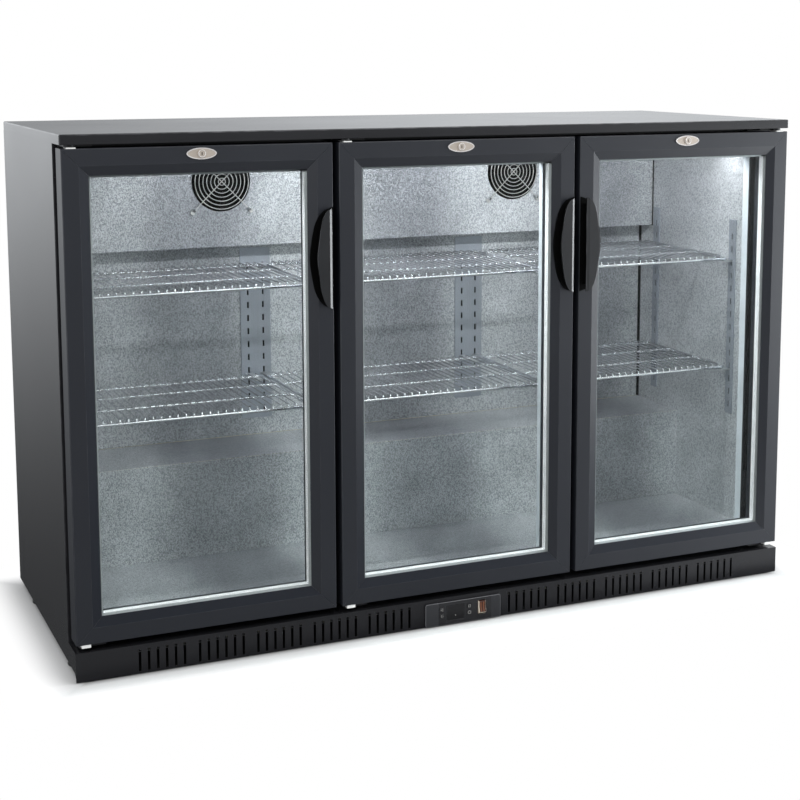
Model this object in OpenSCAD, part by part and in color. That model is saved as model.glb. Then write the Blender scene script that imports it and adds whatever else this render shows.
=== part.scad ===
// Under-counter cooler with three glass doors, in millimetres.
// X runs along the front, Y from the doors to the back, Z up from the floor.

/* [Cabinet] */
// Width across the side panels
cab_w = 1350; // [1250:10:1500]
// Depth from the door fronts to the rear edges of the side panels
cab_d = 520; // [500:5:580]
// Height from the floor to the worktop
cab_h = 875; // [850:5:940]
// Thickness of the bent steel sheet
sheet = 1.2; // [0.8:0.1:1.6]
// Insulated wall from the outside to the inside of the cabin
wall = 43; // [40:1:48]
// Height of the worktop's front lip
lip_h = 16; // [14:1:24]
// Distance of the back panel from the rear edges of the side panels
back_inset = 12; // [6:1:18]
// Height of the base above the floor
base_lift = 15; // [12:1:22]
// Gap between pieces of one assembly where they meet
joint_gap = 0.2; // [0.1:0.05:0.4]

/* [Doors] */
// Distance from the outer doors to the sides of the cabinet
door_edge = 2; // [1:0.5:5]
// Gap between neighbouring doors
door_gap = 11; // [9:0.5:14]
// Gap between the doors and the worktop lip
door_top_gap = 6; // [5.5:0.5:9]
// Gap between the doors and the plinth
door_bottom_gap = 12; // [11:0.5:16]
// Depth of the door frames
door_d = 40; // [36:1:46]
// Distance from the back of the doors to the front of the cabin
seal_gap = 18; // [16:1:24]
// Width of the rails of a door frame
rail_w = 43; // [41:1:50]
// Width of the flat face of a rail
rail_flat = 27; // [24:1:32]
// Depth of the bevel between the flat face and the glass
bevel_d = 6; // [3:0.5:8]
// Chamfer along the outer edge of the rails
rail_chamfer = 1.2; // [0.5:0.1:2]

/* [Glazing] */
// Thickness of a glass pane
pane_t = 4; // [3:0.5:5]
// Distance between the two panes
spacer_d = 12; // [9:1:14]
// Height of the spacer's section
spacer_w = 9; // [7:0.5:10]
// Part of the spacer that shows inside the rails
spacer_show = 3; // [1:0.5:5]
// Reach of the panes into the rails
glass_bite = 12; // [10:1:14]
// Play of the panes in the groove of the rails
glass_play = 0.3; // [0.2:0.1:0.6]
// Thickness of the rail's lip in front of the glass
glass_lip = 0.7; // [0.5:0.1:1.5]

/* [Gaskets] */
// Width of the door gasket
gasket_w = 12; // [9:0.5:13]
// Distance of the gasket from the sides of the door
gasket_side = 14; // [12:1:16]
// Distance of the gasket from the top of the door
gasket_top = 26; // [25:1:28]
// Distance of the gasket from the bottom of the door
gasket_bottom = 12; // [11:1:14]
// Gap between the closed gasket and the front of the cabin
gasket_clear = 0.3; // [0.2:0.1:0.8]

/* [Hinges] */
// Distance of the hinge axis from the side of the door
hinge_in = 16; // [14:1:19]
// Distance of the hinge axis from the front of the door
hinge_back = 16; // [13:1:18]
// Radius of the hinge pins
pin_r = 4; // [3:0.25:4.5]
// Radial clearance between a pin and its bush
run_clear = 0.05; // [0.02:0.01:0.1]
// Outer radius of the bushes
bush_r = 5.5; // [5.2:0.1:6.5]
// Depth of the bushes in the door
bush_depth = 9; // [7:0.5:9.5]
// Radius of the bush flanges
flange_r = 7.5; // [7:0.25:9]
// Height of the upper bush flanges
flange_top = 1.7; // [1:0.1:2]
// Height of the lower bush flanges
flange_bottom = 5; // [3:0.25:6]
// Thickness of the hinge brackets
plate_t = 3; // [2:0.25:3.25]
// Length of a hinge bracket along the door
plate_l = 44; // [36:1:60]
// Gap between the legs of the hinge brackets and the gaskets
leg_clear = 1.5; // [1:0.25:3]

/* [Handles] */
// Distance that the handles stand in front of the doors
handle_proud = 16; // [14:1:24]
// Height of a handle
handle_h = 168; // [140:2:200]
// Distance of the handles below the top of the doors
handle_drop = 106; // [80:2:160]
// Width of the handle's foot on the door
foot_w = 37.5; // [35:0.5:39]
// Swell at the middle of the foot's curved side
foot_bump = 3.5; // [2:0.5:5]
// Thickness of the handle's foot
foot_t = 2.5; // [2:0.25:4]
// Width of the handle's front plate
grip_w = 23; // [20:0.5:25]
// Thickness of the handle's front plate
grip_t = 5; // [4:0.5:6]
// Distance of the front plate from the free edge of the door
grip_in = 7; // [5:0.5:9]
// Depth of the finger groove behind the front plate
groove_w = 13; // [10:0.5:15]
// Swell at the middle of the handle's curved side
grip_bump = 3.5; // [2:0.5:5]

/* [Locks] */
// Length of the lock's escutcheon
plaque_w = 49; // [46:1:60]
// Height of the lock's escutcheon
plaque_h = 18.5; // [17.5:0.5:21]
// Thickness of the lock's escutcheon
plaque_t = 2.2; // [1.5:0.1:3]
// Distance of the lock's axis below the top of the door
lock_drop = 12.2; // [11.5:0.1:13]
// Radius of the lock barrel
barrel_r = 6.5; // [5:0.25:7]
// Distance that the barrel stands in front of the escutcheon
barrel_proud = 1.4; // [0.5:0.1:2.5]
// Reach of the lock's cam from its axis
cam_l = 26; // [24:1:28]
// Width of the lock's cam
cam_w = 10; // [7:0.5:12]
// Thickness of the lock's cam
cam_t = 3; // [2:0.25:4]

/* [Plinth] */
// Height of the plinth's top edge
plinth_h = 50; // [48:1:60]
// Gap between the plinth and the floor
plinth_lift = 2; // [1:0.5:5]
// Width of an air slot
slot_w = 4.5; // [3:0.25:6]
// Height of an air slot
slot_h = 37; // [30:1:38]
// Distance of the slots above the plinth's lower edge
slot_up = 3; // [2:0.5:5]
// Distance between neighbouring slots
slot_pitch = 14.9; // [13:0.1:16]
// Slots in a group
slot_count = 6; // [4:1:6]
// Groups of slots on each side
group_count = 5; // [3:1:5]
// Distance between neighbouring groups
group_pitch = 100; // [98:1:105]
// Distance from the middle of the plinth to the first slot
slot_start = 97; // [92:1:110]

/* [Control panel] */
// Width of the control panel
bezel_w = 146; // [130:1:160]
// Height of the control panel
bezel_h = 41; // [38:0.5:44]
// Distance that the control panel stands in front of the plinth
bezel_t = 4; // [3:0.5:6]
// Corner radius of the control panel
bezel_r = 4; // [2:0.5:8]
// Distance of the panel from the middle of the cabinet
bezel_x = 5; // [-20:1:20]
// Width of the rocker switch
rocker_w = 14.6; // [12:0.2:18]
// Radius of the rocker's ends about its pivot
rocker_r = 12.5; // [10:0.25:14]
// Tilt of the rocker on each side of its middle position
rocker_tilt = 8; // [5:1:10]
// Distance of the rocker from the middle of the panel
rocker_x = 36; // [32:1:44]
// Side of a key
key_w = 7; // [5:0.5:8]
// Distance that the keys stand in front of the panel
key_proud = 1.2; // [0.8:0.1:2]
// Distance between the two keys of a pair
key_pitch = 11.5; // [10:0.5:14]
// Distance of the left keys from the middle of the panel
key_left = -42; // [-50:1:-38]
// Distance of the right keys from the middle of the panel
key_right = 11; // [10:1:14]
// Width of the display window
display_w = 34; // [26:1:36]
// Height of the display window
display_h = 27; // [20:1:30]
// Distance of the display window from the middle of the panel
display_x = -15.5; // [-17:0.5:-14]
// Thickness of the display window
display_t = 1.4; // [1:0.1:2]
// Play of the moving pieces in the panel
key_play = 0.3; // [0.2:0.05:0.5]

/* [Cabin] */
// Insulated rear wall from the back panel to the inside of the cabin
rear_wall = 58; // [53:1:63]
// Height of the cabin's floor
floor_z = 88; // [87:1:96]
// Height of the lower edge of the header above the doors' openings
header_z = 806; // [800:1:812]
// Thickness of the steel front of the cabin
front_t = 4; // [2:0.5:6]
// Depth of the front and its grey throat trim
throat_d = 22; // [16:1:24]
// Thickness of the cabin's aluminium lining
liner_t = 1; // [0.6:0.1:1.5]
// Height of the step over the machine space
step_z = 265; // [250:1:275]
// Distance of the step's front from the back panel
step_d = 216; // [208:1:223]
// Thickness of the step's insulated walls
step_wall = 35; // [30:1:40]

/* [Shelves] */
// Height of the lower shelves
shelf_low = 387; // [370:1:400]
// Height of the upper shelves
shelf_high = 600; // [580:1:610]
// Distance of the shelves' front edges behind the door fronts
shelf_y0 = 112; // [105:1:120]
// Gap between the shelves' rear edges and the evaporator cover
shelf_rear = 6; // [3:1:23]
// Thickness of the frame wires of a shelf
wire_frame = 5; // [4:0.5:6]
// Thickness of the deck wires of a shelf
wire_deck = 2.5; // [2:0.25:3]
// Height of the deck wires above the underside of the frame
deck_rise = 8; // [6:0.5:10]
// Distance between the deck wires
wire_pitch = 14; // [12:0.5:30]
// Space between the shelves and the uprights beside them
shelf_play = 3; // [2:0.5:5]
// Width of a single slotted standard
standard_w = 22; // [18:1:26]
// Width of a double slotted standard
standard_double = 60; // [54:1:64]
// Thickness of the slotted standards
standard_t = 2.5; // [1.5:0.25:4]
// Height of the lower ends of the standards
standard_z0 = 298; // [280:1:320]
// Height of the upper ends of the standards
standard_z1 = 679; // [660:1:700]
// Distance between the slots of a standard
notch_pitch = 25.4; // [20:0.2:30]
// Height of a slot of a standard
notch_h = 12; // [8:0.5:14]
// Width of a slot of a standard
notch_w = 3.5; // [2.5:0.25:5]
// Distance of the front side standards behind the door fronts
standard_front = 108; // [105:1:112]
// Distance of the rear side standards from the shelves' rear edges
standard_in = 15; // [12:1:27]
// Thickness of a shelf clip
clip_t = 3; // [2:0.25:4]

/* [Air system] */
// Depth of the evaporator's space behind its cover
evap_d = 47; // [42:1:50]
// Height of the evaporator cover below the cabin's ceiling
cover_h = 192; // [180:1:200]
// Distance of the cabin fans from the middle
fan_x = 303; // [290:1:330]
// Distance of the fan axes below the cabin's ceiling
fan_drop = 70; // [66:1:80]
// Side of a fan's square frame
fan_size = 120; // [110:1:124]
// Depth of a fan's frame
fan_d = 25; // [20:1:32]
// Radius of the fan's air opening
fan_r = 56; // [50:0.5:57]
// Gap between the blade tips and the air opening
tip_gap = 2; // [1:0.5:4]
// Radius of a fan hub
hub_r = 20; // [16:0.5:24]
// Blades of a fan
blade_count = 7; // [5:1:9]
// Tilt of the blades
blade_tilt = 35; // [25:1:45]
// Thickness of a blade
blade_t = 1.6; // [1:0.1:2.5]
// Radius of the fan shafts
shaft_r = 3; // [2:0.25:4]
// Radius of a fan guard's outer ring
ring_out = 52; // [46:0.5:54]
// Rings of a fan guard
ring_count = 7; // [5:1:9]
// Thickness of the guard's wires
guard_t = 2; // [1.5:0.1:2.5]
// Distance of the guards in front of the evaporator cover
guard_gap = 4; // [2:0.5:6]
// Length of the evaporator coil
coil_l = 420; // [300:10:440]
// Height of the evaporator coil
coil_h = 130; // [100:5:150]
// Distance of the lamp's ends from the side walls of the cabin
lamp_in = 42; // [20:1:130]
// Depth of the lamp
lamp_d = 24; // [18:1:30]
// Height of the lamp
lamp_h = 13; // [10:1:18]

/* [Machine space] */
// Radius of the compressor's shell
comp_r = 72; // [60:1:78]
// Height of the compressor's shell
comp_h = 150; // [130:1:160]
// Distance of the compressor from the side of the cabinet
comp_in = 295; // [175:5:375]
// Height of the compressor's rubber mounts
comp_mount = 12; // [8:1:18]
// Length of the condenser
cond_l = 260; // [200:5:320]
// Depth of the condenser
cond_d = 50; // [40:1:55]
// Height of the condenser
cond_h = 160; // [150:1:180]
// Distance of the condenser from the middle
cond_x = -60; // [-120:5:0]
// Width of the louvres in the rear grille
louvre_w = 90; // [60:5:110]
// Height of the louvres in the rear grille
louvre_h = 8; // [5:0.5:10]
// Radius of the cord's gland
gland_r = 11; // [9:0.5:14]
// Radius of the gland's bore
gland_bore = 4.5; // [3:0.25:6]
// Distance of the gland from the side of the cabinet
gland_in = 115; // [75:5:225]

/* [Feet and screws] */
// Radius of the levelling feet
glide_r = 17; // [12:1:20]
// Height of the foot's pad
glide_h = 8; // [5:0.5:9]
// Radius of the foot's stem
stem_r = 5; // [4:0.5:6]
// Distance of the feet from the sides of the cabinet
glide_in = 20; // [20:1:60]
// Distance of the front feet behind the door fronts
glide_front = 84; // [80:1:120]
// Distance of the rear feet from the rear edges of the side panels
glide_back = 110; // [80:5:140]
// Radius of the screw heads
head_r = 3.6; // [3:0.1:4]
// Height of the screw heads
head_h = 2; // [1.5:0.1:2.5]
// Radius of the screw shanks
shank_r = 1.6; // [1.2:0.1:2]
// Length of the screw shanks
shank_l = 6; // [5:0.5:8]

/* [Hidden] */
$fn = 48;

// Colours
black = [0.10, 0.10, 0.11];
charcoal = [0.17, 0.17, 0.19];
grey = [0.72, 0.74, 0.76];
alu = [0.78, 0.80, 0.82];
zinc = [0.66, 0.67, 0.68];
white = [0.93, 0.93, 0.91];
foam = [0.92, 0.86, 0.62];
clear = [0.80, 0.88, 0.88, 0.30];

// Places in the cabinet
y_front = (handle_proud - cab_d) / 2;
x_side = cab_w / 2;
lip_z = cab_h - lip_h;
door_count = 3;
door_w = (cab_w - 2 * door_edge - (door_count - 1) * door_gap) / door_count;
door_z0 = plinth_h + door_bottom_gap;
door_z1 = lip_z - door_top_gap;
door_h = door_z1 - door_z0;
face_y = door_d + seal_gap;
throat_y = face_y + throat_d;
back_y = cab_d - back_inset;
rear_y = back_y - rear_wall;
step_y = back_y - step_d;
cover_y = rear_y - evap_d;
shelf_y1 = cover_y - shelf_rear;
standard_rear = shelf_y1 - standard_in;
liner_x = x_side - wall;
lamp_l = 2 * (liner_x - lamp_in);
comp_x = x_side - comp_in;
gland_x = x_side - gland_in;
glide_rear = cab_d - glide_back;
ceil_z = cab_h - wall;
sill_z = floor_z + 2;
machine_y = step_y + step_wall;
machine_z = step_z - step_wall;
base_z = base_lift + sheet;
duct_z = plinth_h - sheet;
cover_z = ceil_z - cover_h;
fan_z = ceil_z - fan_drop;
mullion_margin = 2.5;
mullion_w = door_gap + 2 * (gasket_side + gasket_w + mullion_margin);
function door_x(i) = -x_side + door_edge + i * (door_w + door_gap);
function mullion_x(i) = door_x(i) + door_w + door_gap / 2;

// Places in a door, with the hinge edge at X = 0
glass_y = bevel_d + glass_lip + glass_play;
unit_d = 2 * pane_t + spacer_d;
glass_in = rail_w - glass_bite;
gasket_d = seal_gap - gasket_clear;
bush_fit = 0.05;
lock_z = door_z1 - lock_drop;
handle_z = door_z1 - handle_drop - handle_h / 2;
plate_top = door_z1 + flange_top + gasket_clear;
plate_bottom = door_z0 - flange_bottom - gasket_clear - plate_t;
pin_l = bush_depth - 0.5;
leg_top_h = plate_top + plate_t - (door_z1 - gasket_top) - leg_clear;
leg_bottom_h = door_z0 + gasket_bottom - leg_clear - plate_bottom;

// Places on the control panel
bezel_z = plinth_lift + bezel_h / 2;
key_rise = 2;
pivot_y = 2;
ear = fan_size * 7 / 16;
motor_d = 9;
cond_clear = 2;
cond_y = back_y - shank_l - cond_clear - cond_d;
cond_fan_y = cond_y - joint_gap - fan_d;
cond_z = base_z + cond_h / 2;

module placed() { translate([0, y_front, 0]) children(); }

// Box between two corners
module span(low, high) { translate(low) cube(high - low); }

// Prism along X with its outline drawn as [y, z]
module x_prism(x0, x1) {
  translate([x0, 0, 0]) rotate([90, 0, 90]) linear_extrude(x1 - x0) children();
}

// Plate in the XZ plane with its front at y0 and its back at y1
module y_plate(y0, y1) {
  translate([0, y1, 0]) rotate([90, 0, 0]) linear_extrude(y1 - y0) children();
}

// Cylinder along Y from y0 to y1
module y_rod(x, z, r, y0, y1) {
  translate([x, y0, z]) rotate([-90, 0, 0]) cylinder(r = r, h = y1 - y0);
}

module rect(x0, z0, x1, z1) { translate([x0, z0]) square([x1 - x0, z1 - z0]); }

module both_sides() {
  children();
  mirror([1, 0, 0]) children();
}

// Straight bar of a frame along X: the section is [depth, inset], the ends are mitred
module frame_bar(length, band, depth) {
  intersection() {
    rotate([90, 0, 90]) linear_extrude(length) children();
    y_plate(0, depth)
      polygon([[joint_gap, 0], [length - joint_gap, 0],
               [length - band - joint_gap, band], [band + joint_gap, band]]);
  }
}

// Four mitred bars round a rectangle, outer size w by h
module mitred_frame(w, h, band, depth) {
  frame_bar(w, band, depth) children();
  translate([w, 0, 0]) rotate([0, -90, 0]) frame_bar(h, band, depth) children();
  translate([w, 0, h]) rotate([0, 180, 0]) frame_bar(w, band, depth) children();
  translate([0, 0, h]) rotate([0, 90, 0]) frame_bar(h, band, depth) children();
}

// Cabinet
module worktop() {
  hem_y = door_d - 2;
  keeper_h = lip_h / 2;
  color(black) placed() {
    difference() {
      span([-x_side, 0, lip_z], [x_side, cab_d, cab_h]);
      span([sheet - x_side, sheet, lip_z - 1], [x_side - sheet, cab_d - sheet, cab_h - sheet]);
    }
    span([sheet - x_side, sheet, lip_z], [x_side - sheet, hem_y, lip_z + sheet]);
    span([sheet - x_side, hem_y - sheet, lip_z], [x_side - sheet, hem_y, lip_z + keeper_h]);
  }
}

module side_panel() {
  rear_fold = 14;
  span([x_side - sheet, face_y, base_lift], [x_side, cab_d, lip_z]);
  span([x_side - rear_fold, cab_d - sheet, base_lift], [x_side, cab_d, lip_z]);
}

module side_panel_left() { color(black) placed() mirror([1, 0, 0]) side_panel(); }

module side_panel_right() { color(black) placed() side_panel(); }

module back_panel() {
  color(black) placed()
    span([sheet - x_side, back_y - sheet, machine_z], [x_side - sheet, back_y, lip_z - joint_gap]);
}

module rear_grille() {
  rows = 7;
  columns = 5;
  row_pitch = (machine_z - base_z) / (rows + 2);
  column_pitch = (cab_w - 2 * wall) / columns;
  color(black) placed() y_plate(back_y - sheet, back_y) difference() {
    rect(sheet - x_side, base_z, x_side - sheet, machine_z - joint_gap);
    for (column = [0 : columns - 1], row = [1 : rows])
      translate([(column - (columns - 1) / 2) * column_pitch, base_z + (row + 0.5) * row_pitch])
        square([louvre_w, louvre_h], center = true);
    translate([gland_x, gland_height()]) circle(r = gland_r);
  }
}

function gland_height() = base_z + gland_r + 6;

module base_pan() {
  color(zinc) placed()
    span([sheet - x_side, face_y, base_lift], [x_side - sheet, back_y, base_z]);
}

// Header, sill, stiles and mullions round the three door openings
module surround(y0, y1) {
  outer = x_side - sheet;
  span([-outer, y0, header_z], [outer, y1, lip_z - joint_gap]);
  span([-outer, y0, duct_z], [outer, y1, sill_z]);
  both_sides()
    span([liner_x, y0, sill_z + joint_gap], [outer, y1, header_z - joint_gap]);
  for (i = [0 : door_count - 2])
    span([mullion_x(i) - mullion_w / 2, y0, sill_z + joint_gap],
         [mullion_x(i) + mullion_w / 2, y1, header_z - joint_gap]);
}

module front_frame() { color(black) placed() surround(face_y, face_y + front_t); }

module throat_trim() { color(grey) placed() surround(face_y + front_t, throat_y); }

// Outline of the cabin as [y, z], grown outwards by t, open at the front
module cabin_outline(t) {
  polygon([[throat_y, floor_z - t], [step_y + t, floor_z - t], [step_y + t, step_z - t],
           [rear_y + t, step_z - t], [rear_y + t, ceil_z + t], [throat_y, ceil_z + t]]);
}

module insulation() {
  outer = x_side - sheet;
  inner = liner_x + liner_t;
  color(foam) placed() difference() {
    x_prism(-outer, outer)
      polygon([[throat_y, duct_z], [machine_y, duct_z], [machine_y, machine_z],
               [back_y - sheet, machine_z], [back_y - sheet, cab_h - sheet],
               [throat_y, cab_h - sheet]]);
    x_prism(-inner, inner) union() {
      cabin_outline(liner_t);
      rect(throat_y - 1, floor_z - liner_t, throat_y + 1, ceil_z + liner_t);
    }
  }
}

module inner_liner() {
  edge = liner_x - joint_gap;
  color(alu) placed() {
    both_sides() x_prism(liner_x, liner_x + liner_t) cabin_outline(liner_t);
    span([-edge, rear_y, step_z + joint_gap], [edge, rear_y + liner_t, ceil_z]);
    span([-edge, throat_y, ceil_z + joint_gap], [edge, rear_y, ceil_z + liner_t]);
    span([-edge, throat_y, floor_z - liner_t], [edge, step_y - joint_gap, floor_z]);
  }
}

module machine_housing() {
  edge = liner_x - joint_gap;
  color(alu) placed() {
    span([-edge, step_y, floor_z - liner_t], [edge, step_y + liner_t, step_z - liner_t - joint_gap]);
    span([-edge, step_y, step_z - liner_t], [edge, rear_y - joint_gap, step_z]);
  }
}

// Cooling inside the cabin
module evaporator_cover() {
  edge = liner_x - joint_gap;
  color(alu) placed() {
    y_plate(cover_y, cover_y + sheet) difference() {
      rect(-edge, cover_z, edge, ceil_z);
      for (s = [-1, 1]) translate([s * fan_x, fan_z]) circle(r = fan_r);
    }
    span([-edge, cover_y + sheet + joint_gap, cover_z], [edge, rear_y - joint_gap, cover_z + sheet]);
  }
}

module evaporator_coil() {
  fin_t = 12;
  fin_step = 20;
  tube_r = 5;
  y0 = cover_y + sheet + joint_gap;
  y1 = rear_y - joint_gap;
  z0 = cover_z + sheet + joint_gap;
  fins = floor(coil_l / fin_step);
  color(alu) placed() {
    for (k = [0 : fins - 1])
      translate([(k - (fins - 1) / 2) * fin_step - fin_t / 2, y0, z0])
        cube([fin_t, y1 - y0, coil_h]);
    for (row = [1 : 3])
      translate([-coil_l / 2, (y0 + y1) / 2, z0 + row * coil_h / 4])
        rotate([0, 90, 0]) cylinder(r = tube_r, h = coil_l);
  }
}

// Frame of an axial fan about [x, z], with its motor on struts at the back
module fan_frame(x, z, y0) {
  strut_t = 5;
  y1 = y0 + fan_d;
  y_plate(y0, y1) difference() {
    rect(x - fan_size / 2, z - fan_size / 2, x + fan_size / 2, z + fan_size / 2);
    translate([x, z]) circle(r = fan_r);
  }
  y_plate(y1 - strut_t, y1) intersection() {
    translate([x, z]) circle(r = fan_r + 1);
    union() for (a = [0, 90]) translate([x, z]) rotate(a) square([fan_size, strut_t], center = true);
  }
  y_rod(x, z, hub_r, y1 - motor_d, y1);
  y_rod(x, z, shaft_r, y0 + 2, y1 - motor_d);
}

module fan_frames() {
  color(charcoal) placed() {
    for (s = [-1, 1]) fan_frame(s * fan_x, fan_z, cover_y + sheet + joint_gap);
    fan_frame(cond_x, cond_z, cond_fan_y);
  }
}

// Impeller that runs on the shaft of the frame at y0
module fan_rotor(x, z, y0) {
  cap = 2;
  hub_y0 = y0 + cap;
  hub_y1 = y0 + fan_d - motor_d - 0.5;
  blade_l = (hub_y1 - hub_y0) / sin(blade_tilt + 10);
  difference() {
    union() {
      y_rod(x, z, hub_r, hub_y0, hub_y1);
      intersection() {
        y_rod(x, z, fan_r - tip_gap, hub_y0, hub_y1);
        for (k = [0 : blade_count - 1])
          translate([x, (hub_y0 + hub_y1) / 2, z]) rotate([0, k * 360 / blade_count, 0])
            translate([fan_r / 2, 0, 0]) rotate([blade_tilt, 0, 0])
              cube([fan_r, blade_t, blade_l * 2], center = true);
      }
    }
    y_rod(x, z, shaft_r + run_clear, hub_y0 - 1, hub_y1 + 1);
  }
}

module fan_rotor_left() {
  color(charcoal) placed() fan_rotor(-fan_x, fan_z, cover_y + sheet + joint_gap);
}

module fan_rotor_right() {
  color(charcoal) placed() fan_rotor(fan_x, fan_z, cover_y + sheet + joint_gap);
}

module condenser_rotor() { color(charcoal) placed() fan_rotor(cond_x, cond_z, cond_fan_y); }

module fan_guards() {
  ear_r = 4.5;
  ring_pitch = ring_out / ring_count;
  y0 = cover_y - guard_gap - guard_t;
  color(alu) placed() for (s = [-1, 1]) translate([s * fan_x, 0, fan_z]) {
    y_plate(y0, y0 + guard_t) {
      for (k = [1 : ring_count]) difference() {
        circle(r = k * ring_pitch);
        circle(r = k * ring_pitch - guard_t);
      }
      for (a = [45, 135]) rotate(a) square([2 * sqrt(2) * ear, guard_t], center = true);
      for (a = [0 : 90 : 270]) rotate(a) translate([ear, ear]) circle(r = ear_r);
    }
    for (a = [0 : 90 : 270]) rotate([0, a, 0]) y_rod(ear, ear, ear_r, y0, cover_y);
  }
}

module led_lamp() {
  color(white) placed()
    span([-lamp_l / 2, throat_y + 4, ceil_z - lamp_h], [lamp_l / 2, throat_y + 4 + lamp_d, ceil_z]);
}

// Slotted standards and what they carry
module notched(width, z0, z1, columns) {
  count = floor((z1 - z0 - notch_h) / notch_pitch);
  difference() {
    rect(-width / 2, z0, width / 2, z1);
    for (c = columns, k = [0 : count - 1])
      rect(c - notch_w / 2, z0 + notch_h + k * notch_pitch,
           c + notch_w / 2, z0 + 2 * notch_h + k * notch_pitch);
  }
}

double_notch = standard_double / 4;
rear_standard_z1 = cover_z - 10;

module shelf_standards() {
  color(alu) placed() {
    both_sides() for (y = [standard_front, standard_rear])
      translate([liner_x, y, 0]) rotate([0, 0, -90]) y_plate(-standard_t, 0)
        notched(standard_w, standard_z0, standard_z1, [0]);
    for (i = [0 : door_count - 2]) translate([mullion_x(i), 0, 0]) {
      y_plate(throat_y, throat_y + standard_t)
        notched(standard_double, standard_z0, standard_z1, [-double_notch, double_notch]);
      y_plate(rear_y - standard_t, rear_y)
        notched(standard_double, standard_z0, rear_standard_z1, [-double_notch, double_notch]);
    }
  }
}

function shelf_x0(i) = i == 0 ? -liner_x + standard_t + shelf_play : mullion_x(i - 1) + shelf_play;
function shelf_x1(i) =
  i == door_count - 1 ? liner_x - standard_t - shelf_play : mullion_x(i) - shelf_play;

// Clips carry the corners of the shelves on tabs from the standards
module shelf_clips() {
  tab = 14;
  reach = 16;
  color(zinc) placed() for (z = [shelf_low, shelf_high]) {
    both_sides() for (y = [standard_front, standard_rear])
      span([liner_x - standard_t - shelf_play - reach, y - tab / 2 + 4, z - clip_t],
           [liner_x - standard_t, y + tab / 2 + 4, z]);
    for (i = [0 : door_count - 2], s = [-1, 1]) translate([mullion_x(i) + s * double_notch, 0, 0]) {
      span([-tab / 2, throat_y + standard_t, z - clip_t], [tab / 2, shelf_y0 + reach, z]);
      span([-tab / 2, shelf_y1 - reach, z - clip_t], [tab / 2, rear_y - standard_t, z]);
    }
  }
}

// Deck wire as [y, z], both ends turned down to the frame
module deck_wire(depth) {
  difference() {
    rect(0, wire_frame / 2, depth, deck_rise + wire_deck);
    rect(wire_deck, 0, depth - wire_deck, deck_rise);
  }
}

// Wire shelf: frame, cross bars welded under the deck, deck wires from front to back
module shelf(width, depth) {
  wires = floor(width / wire_pitch);
  step = width / wires;
  bars = 2;
  bar_top = deck_rise + wire_deck / 4;
  linear_extrude(wire_frame) difference() {
    rect(0, 0, width, depth);
    rect(wire_frame, wire_frame, width - wire_frame, depth - wire_frame);
  }
  for (k = [1 : bars]) translate([0, k * depth / (bars + 1), bar_top - wire_frame])
    span([0, -wire_frame / 2, 0], [width, wire_frame / 2, wire_frame]);
  for (k = [1 : wires - 1])
    x_prism(k * step - wire_deck / 2, k * step + wire_deck / 2) deck_wire(depth);
}

module wire_shelves() {
  color(alu) placed() for (z = [shelf_low, shelf_high], i = [0 : door_count - 1])
    translate([shelf_x0(i), shelf_y0, z]) shelf(shelf_x1(i) - shelf_x0(i), shelf_y1 - shelf_y0);
}

// Plinth and controls
module plinth() {
  rise = base_lift - plinth_lift;
  cut_in = 8;
  cut_h = 2 * (rocker_r + key_rise + 2 * key_play);
  color(black) placed() {
    y_plate(0, sheet) difference() {
      rect(-x_side, plinth_lift, x_side, plinth_h);
      for (s = [-1, 1], g = [0 : group_count - 1], k = [0 : slot_count - 1])
        translate([s * (slot_start + g * group_pitch + k * slot_pitch), plinth_lift + slot_up])
          rect(-slot_w / 2, 0, slot_w / 2, slot_h);
      translate([bezel_x, bezel_z])
        square([bezel_w - 2 * cut_in, cut_h], center = true);
    }
    both_sides() x_prism(x_side - sheet, x_side) difference() {
      rect(0, plinth_lift, face_y, plinth_h);
      translate([rise, plinth_lift]) circle(r = rise);
      rect(rise, plinth_lift - 1, face_y + 1, base_lift);
    }
    span([-x_side, 0, plinth_h - sheet], [x_side, face_y, plinth_h]);
  }
}

module bezel_outline() {
  union() {
    square([bezel_w - 2 * bezel_r, bezel_h], center = true);
    square([bezel_w, bezel_h - 2 * bezel_r], center = true);
    for (sx = [-1, 1], sz = [-1, 1])
      translate([sx * (bezel_w / 2 - bezel_r), sz * (bezel_h / 2 - bezel_r)]) circle(r = bezel_r);
  }
}

function key_places() =
  [for (x = [key_left, key_right], s = [1, -1]) [x, key_rise + s * key_pitch / 2]];

module control_bezel() {
  slip = 2 * key_play;
  color(charcoal) placed() translate([bezel_x, 0, bezel_z]) difference() {
    y_plate(-bezel_t, 0) difference() {
      bezel_outline();
      for (p = key_places()) translate(p) square(key_w + slip, center = true);
      translate([rocker_x, key_rise]) square([rocker_w + slip, 2 * rocker_r + slip], center = true);
    }
    span([display_x - display_w / 2, -bezel_t - 1, -display_h / 2],
         [display_x + display_w / 2, display_t - bezel_t, display_h / 2]);
  }
}

module display_window() {
  half = display_w / 2 - joint_gap;
  tall = display_h / 2 - joint_gap;
  color([0.03, 0.03, 0.04]) placed() translate([bezel_x, 0, bezel_z])
    span([display_x - half, -bezel_t, -tall], [display_x + half, display_t - bezel_t, tall]);
}

// Rocker about a pivot behind the panel: round ends, a shallow V in front
module rocker_switch() {
  front = bezel_t + 3;
  color([0.85, 0.40, 0.15]) placed() translate([bezel_x + rocker_x, pivot_y, bezel_z + key_rise])
    rotate([-rocker_tilt, 0, 0]) x_prism(-rocker_w / 2, rocker_w / 2) intersection() {
      circle(r = rocker_r);
      polygon([[-front, 0], [-front - rocker_r * tan(rocker_tilt), rocker_r], [0, rocker_r],
               [0, -rocker_r], [-front - rocker_r * tan(rocker_tilt), -rocker_r]]);
    }
}

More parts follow.
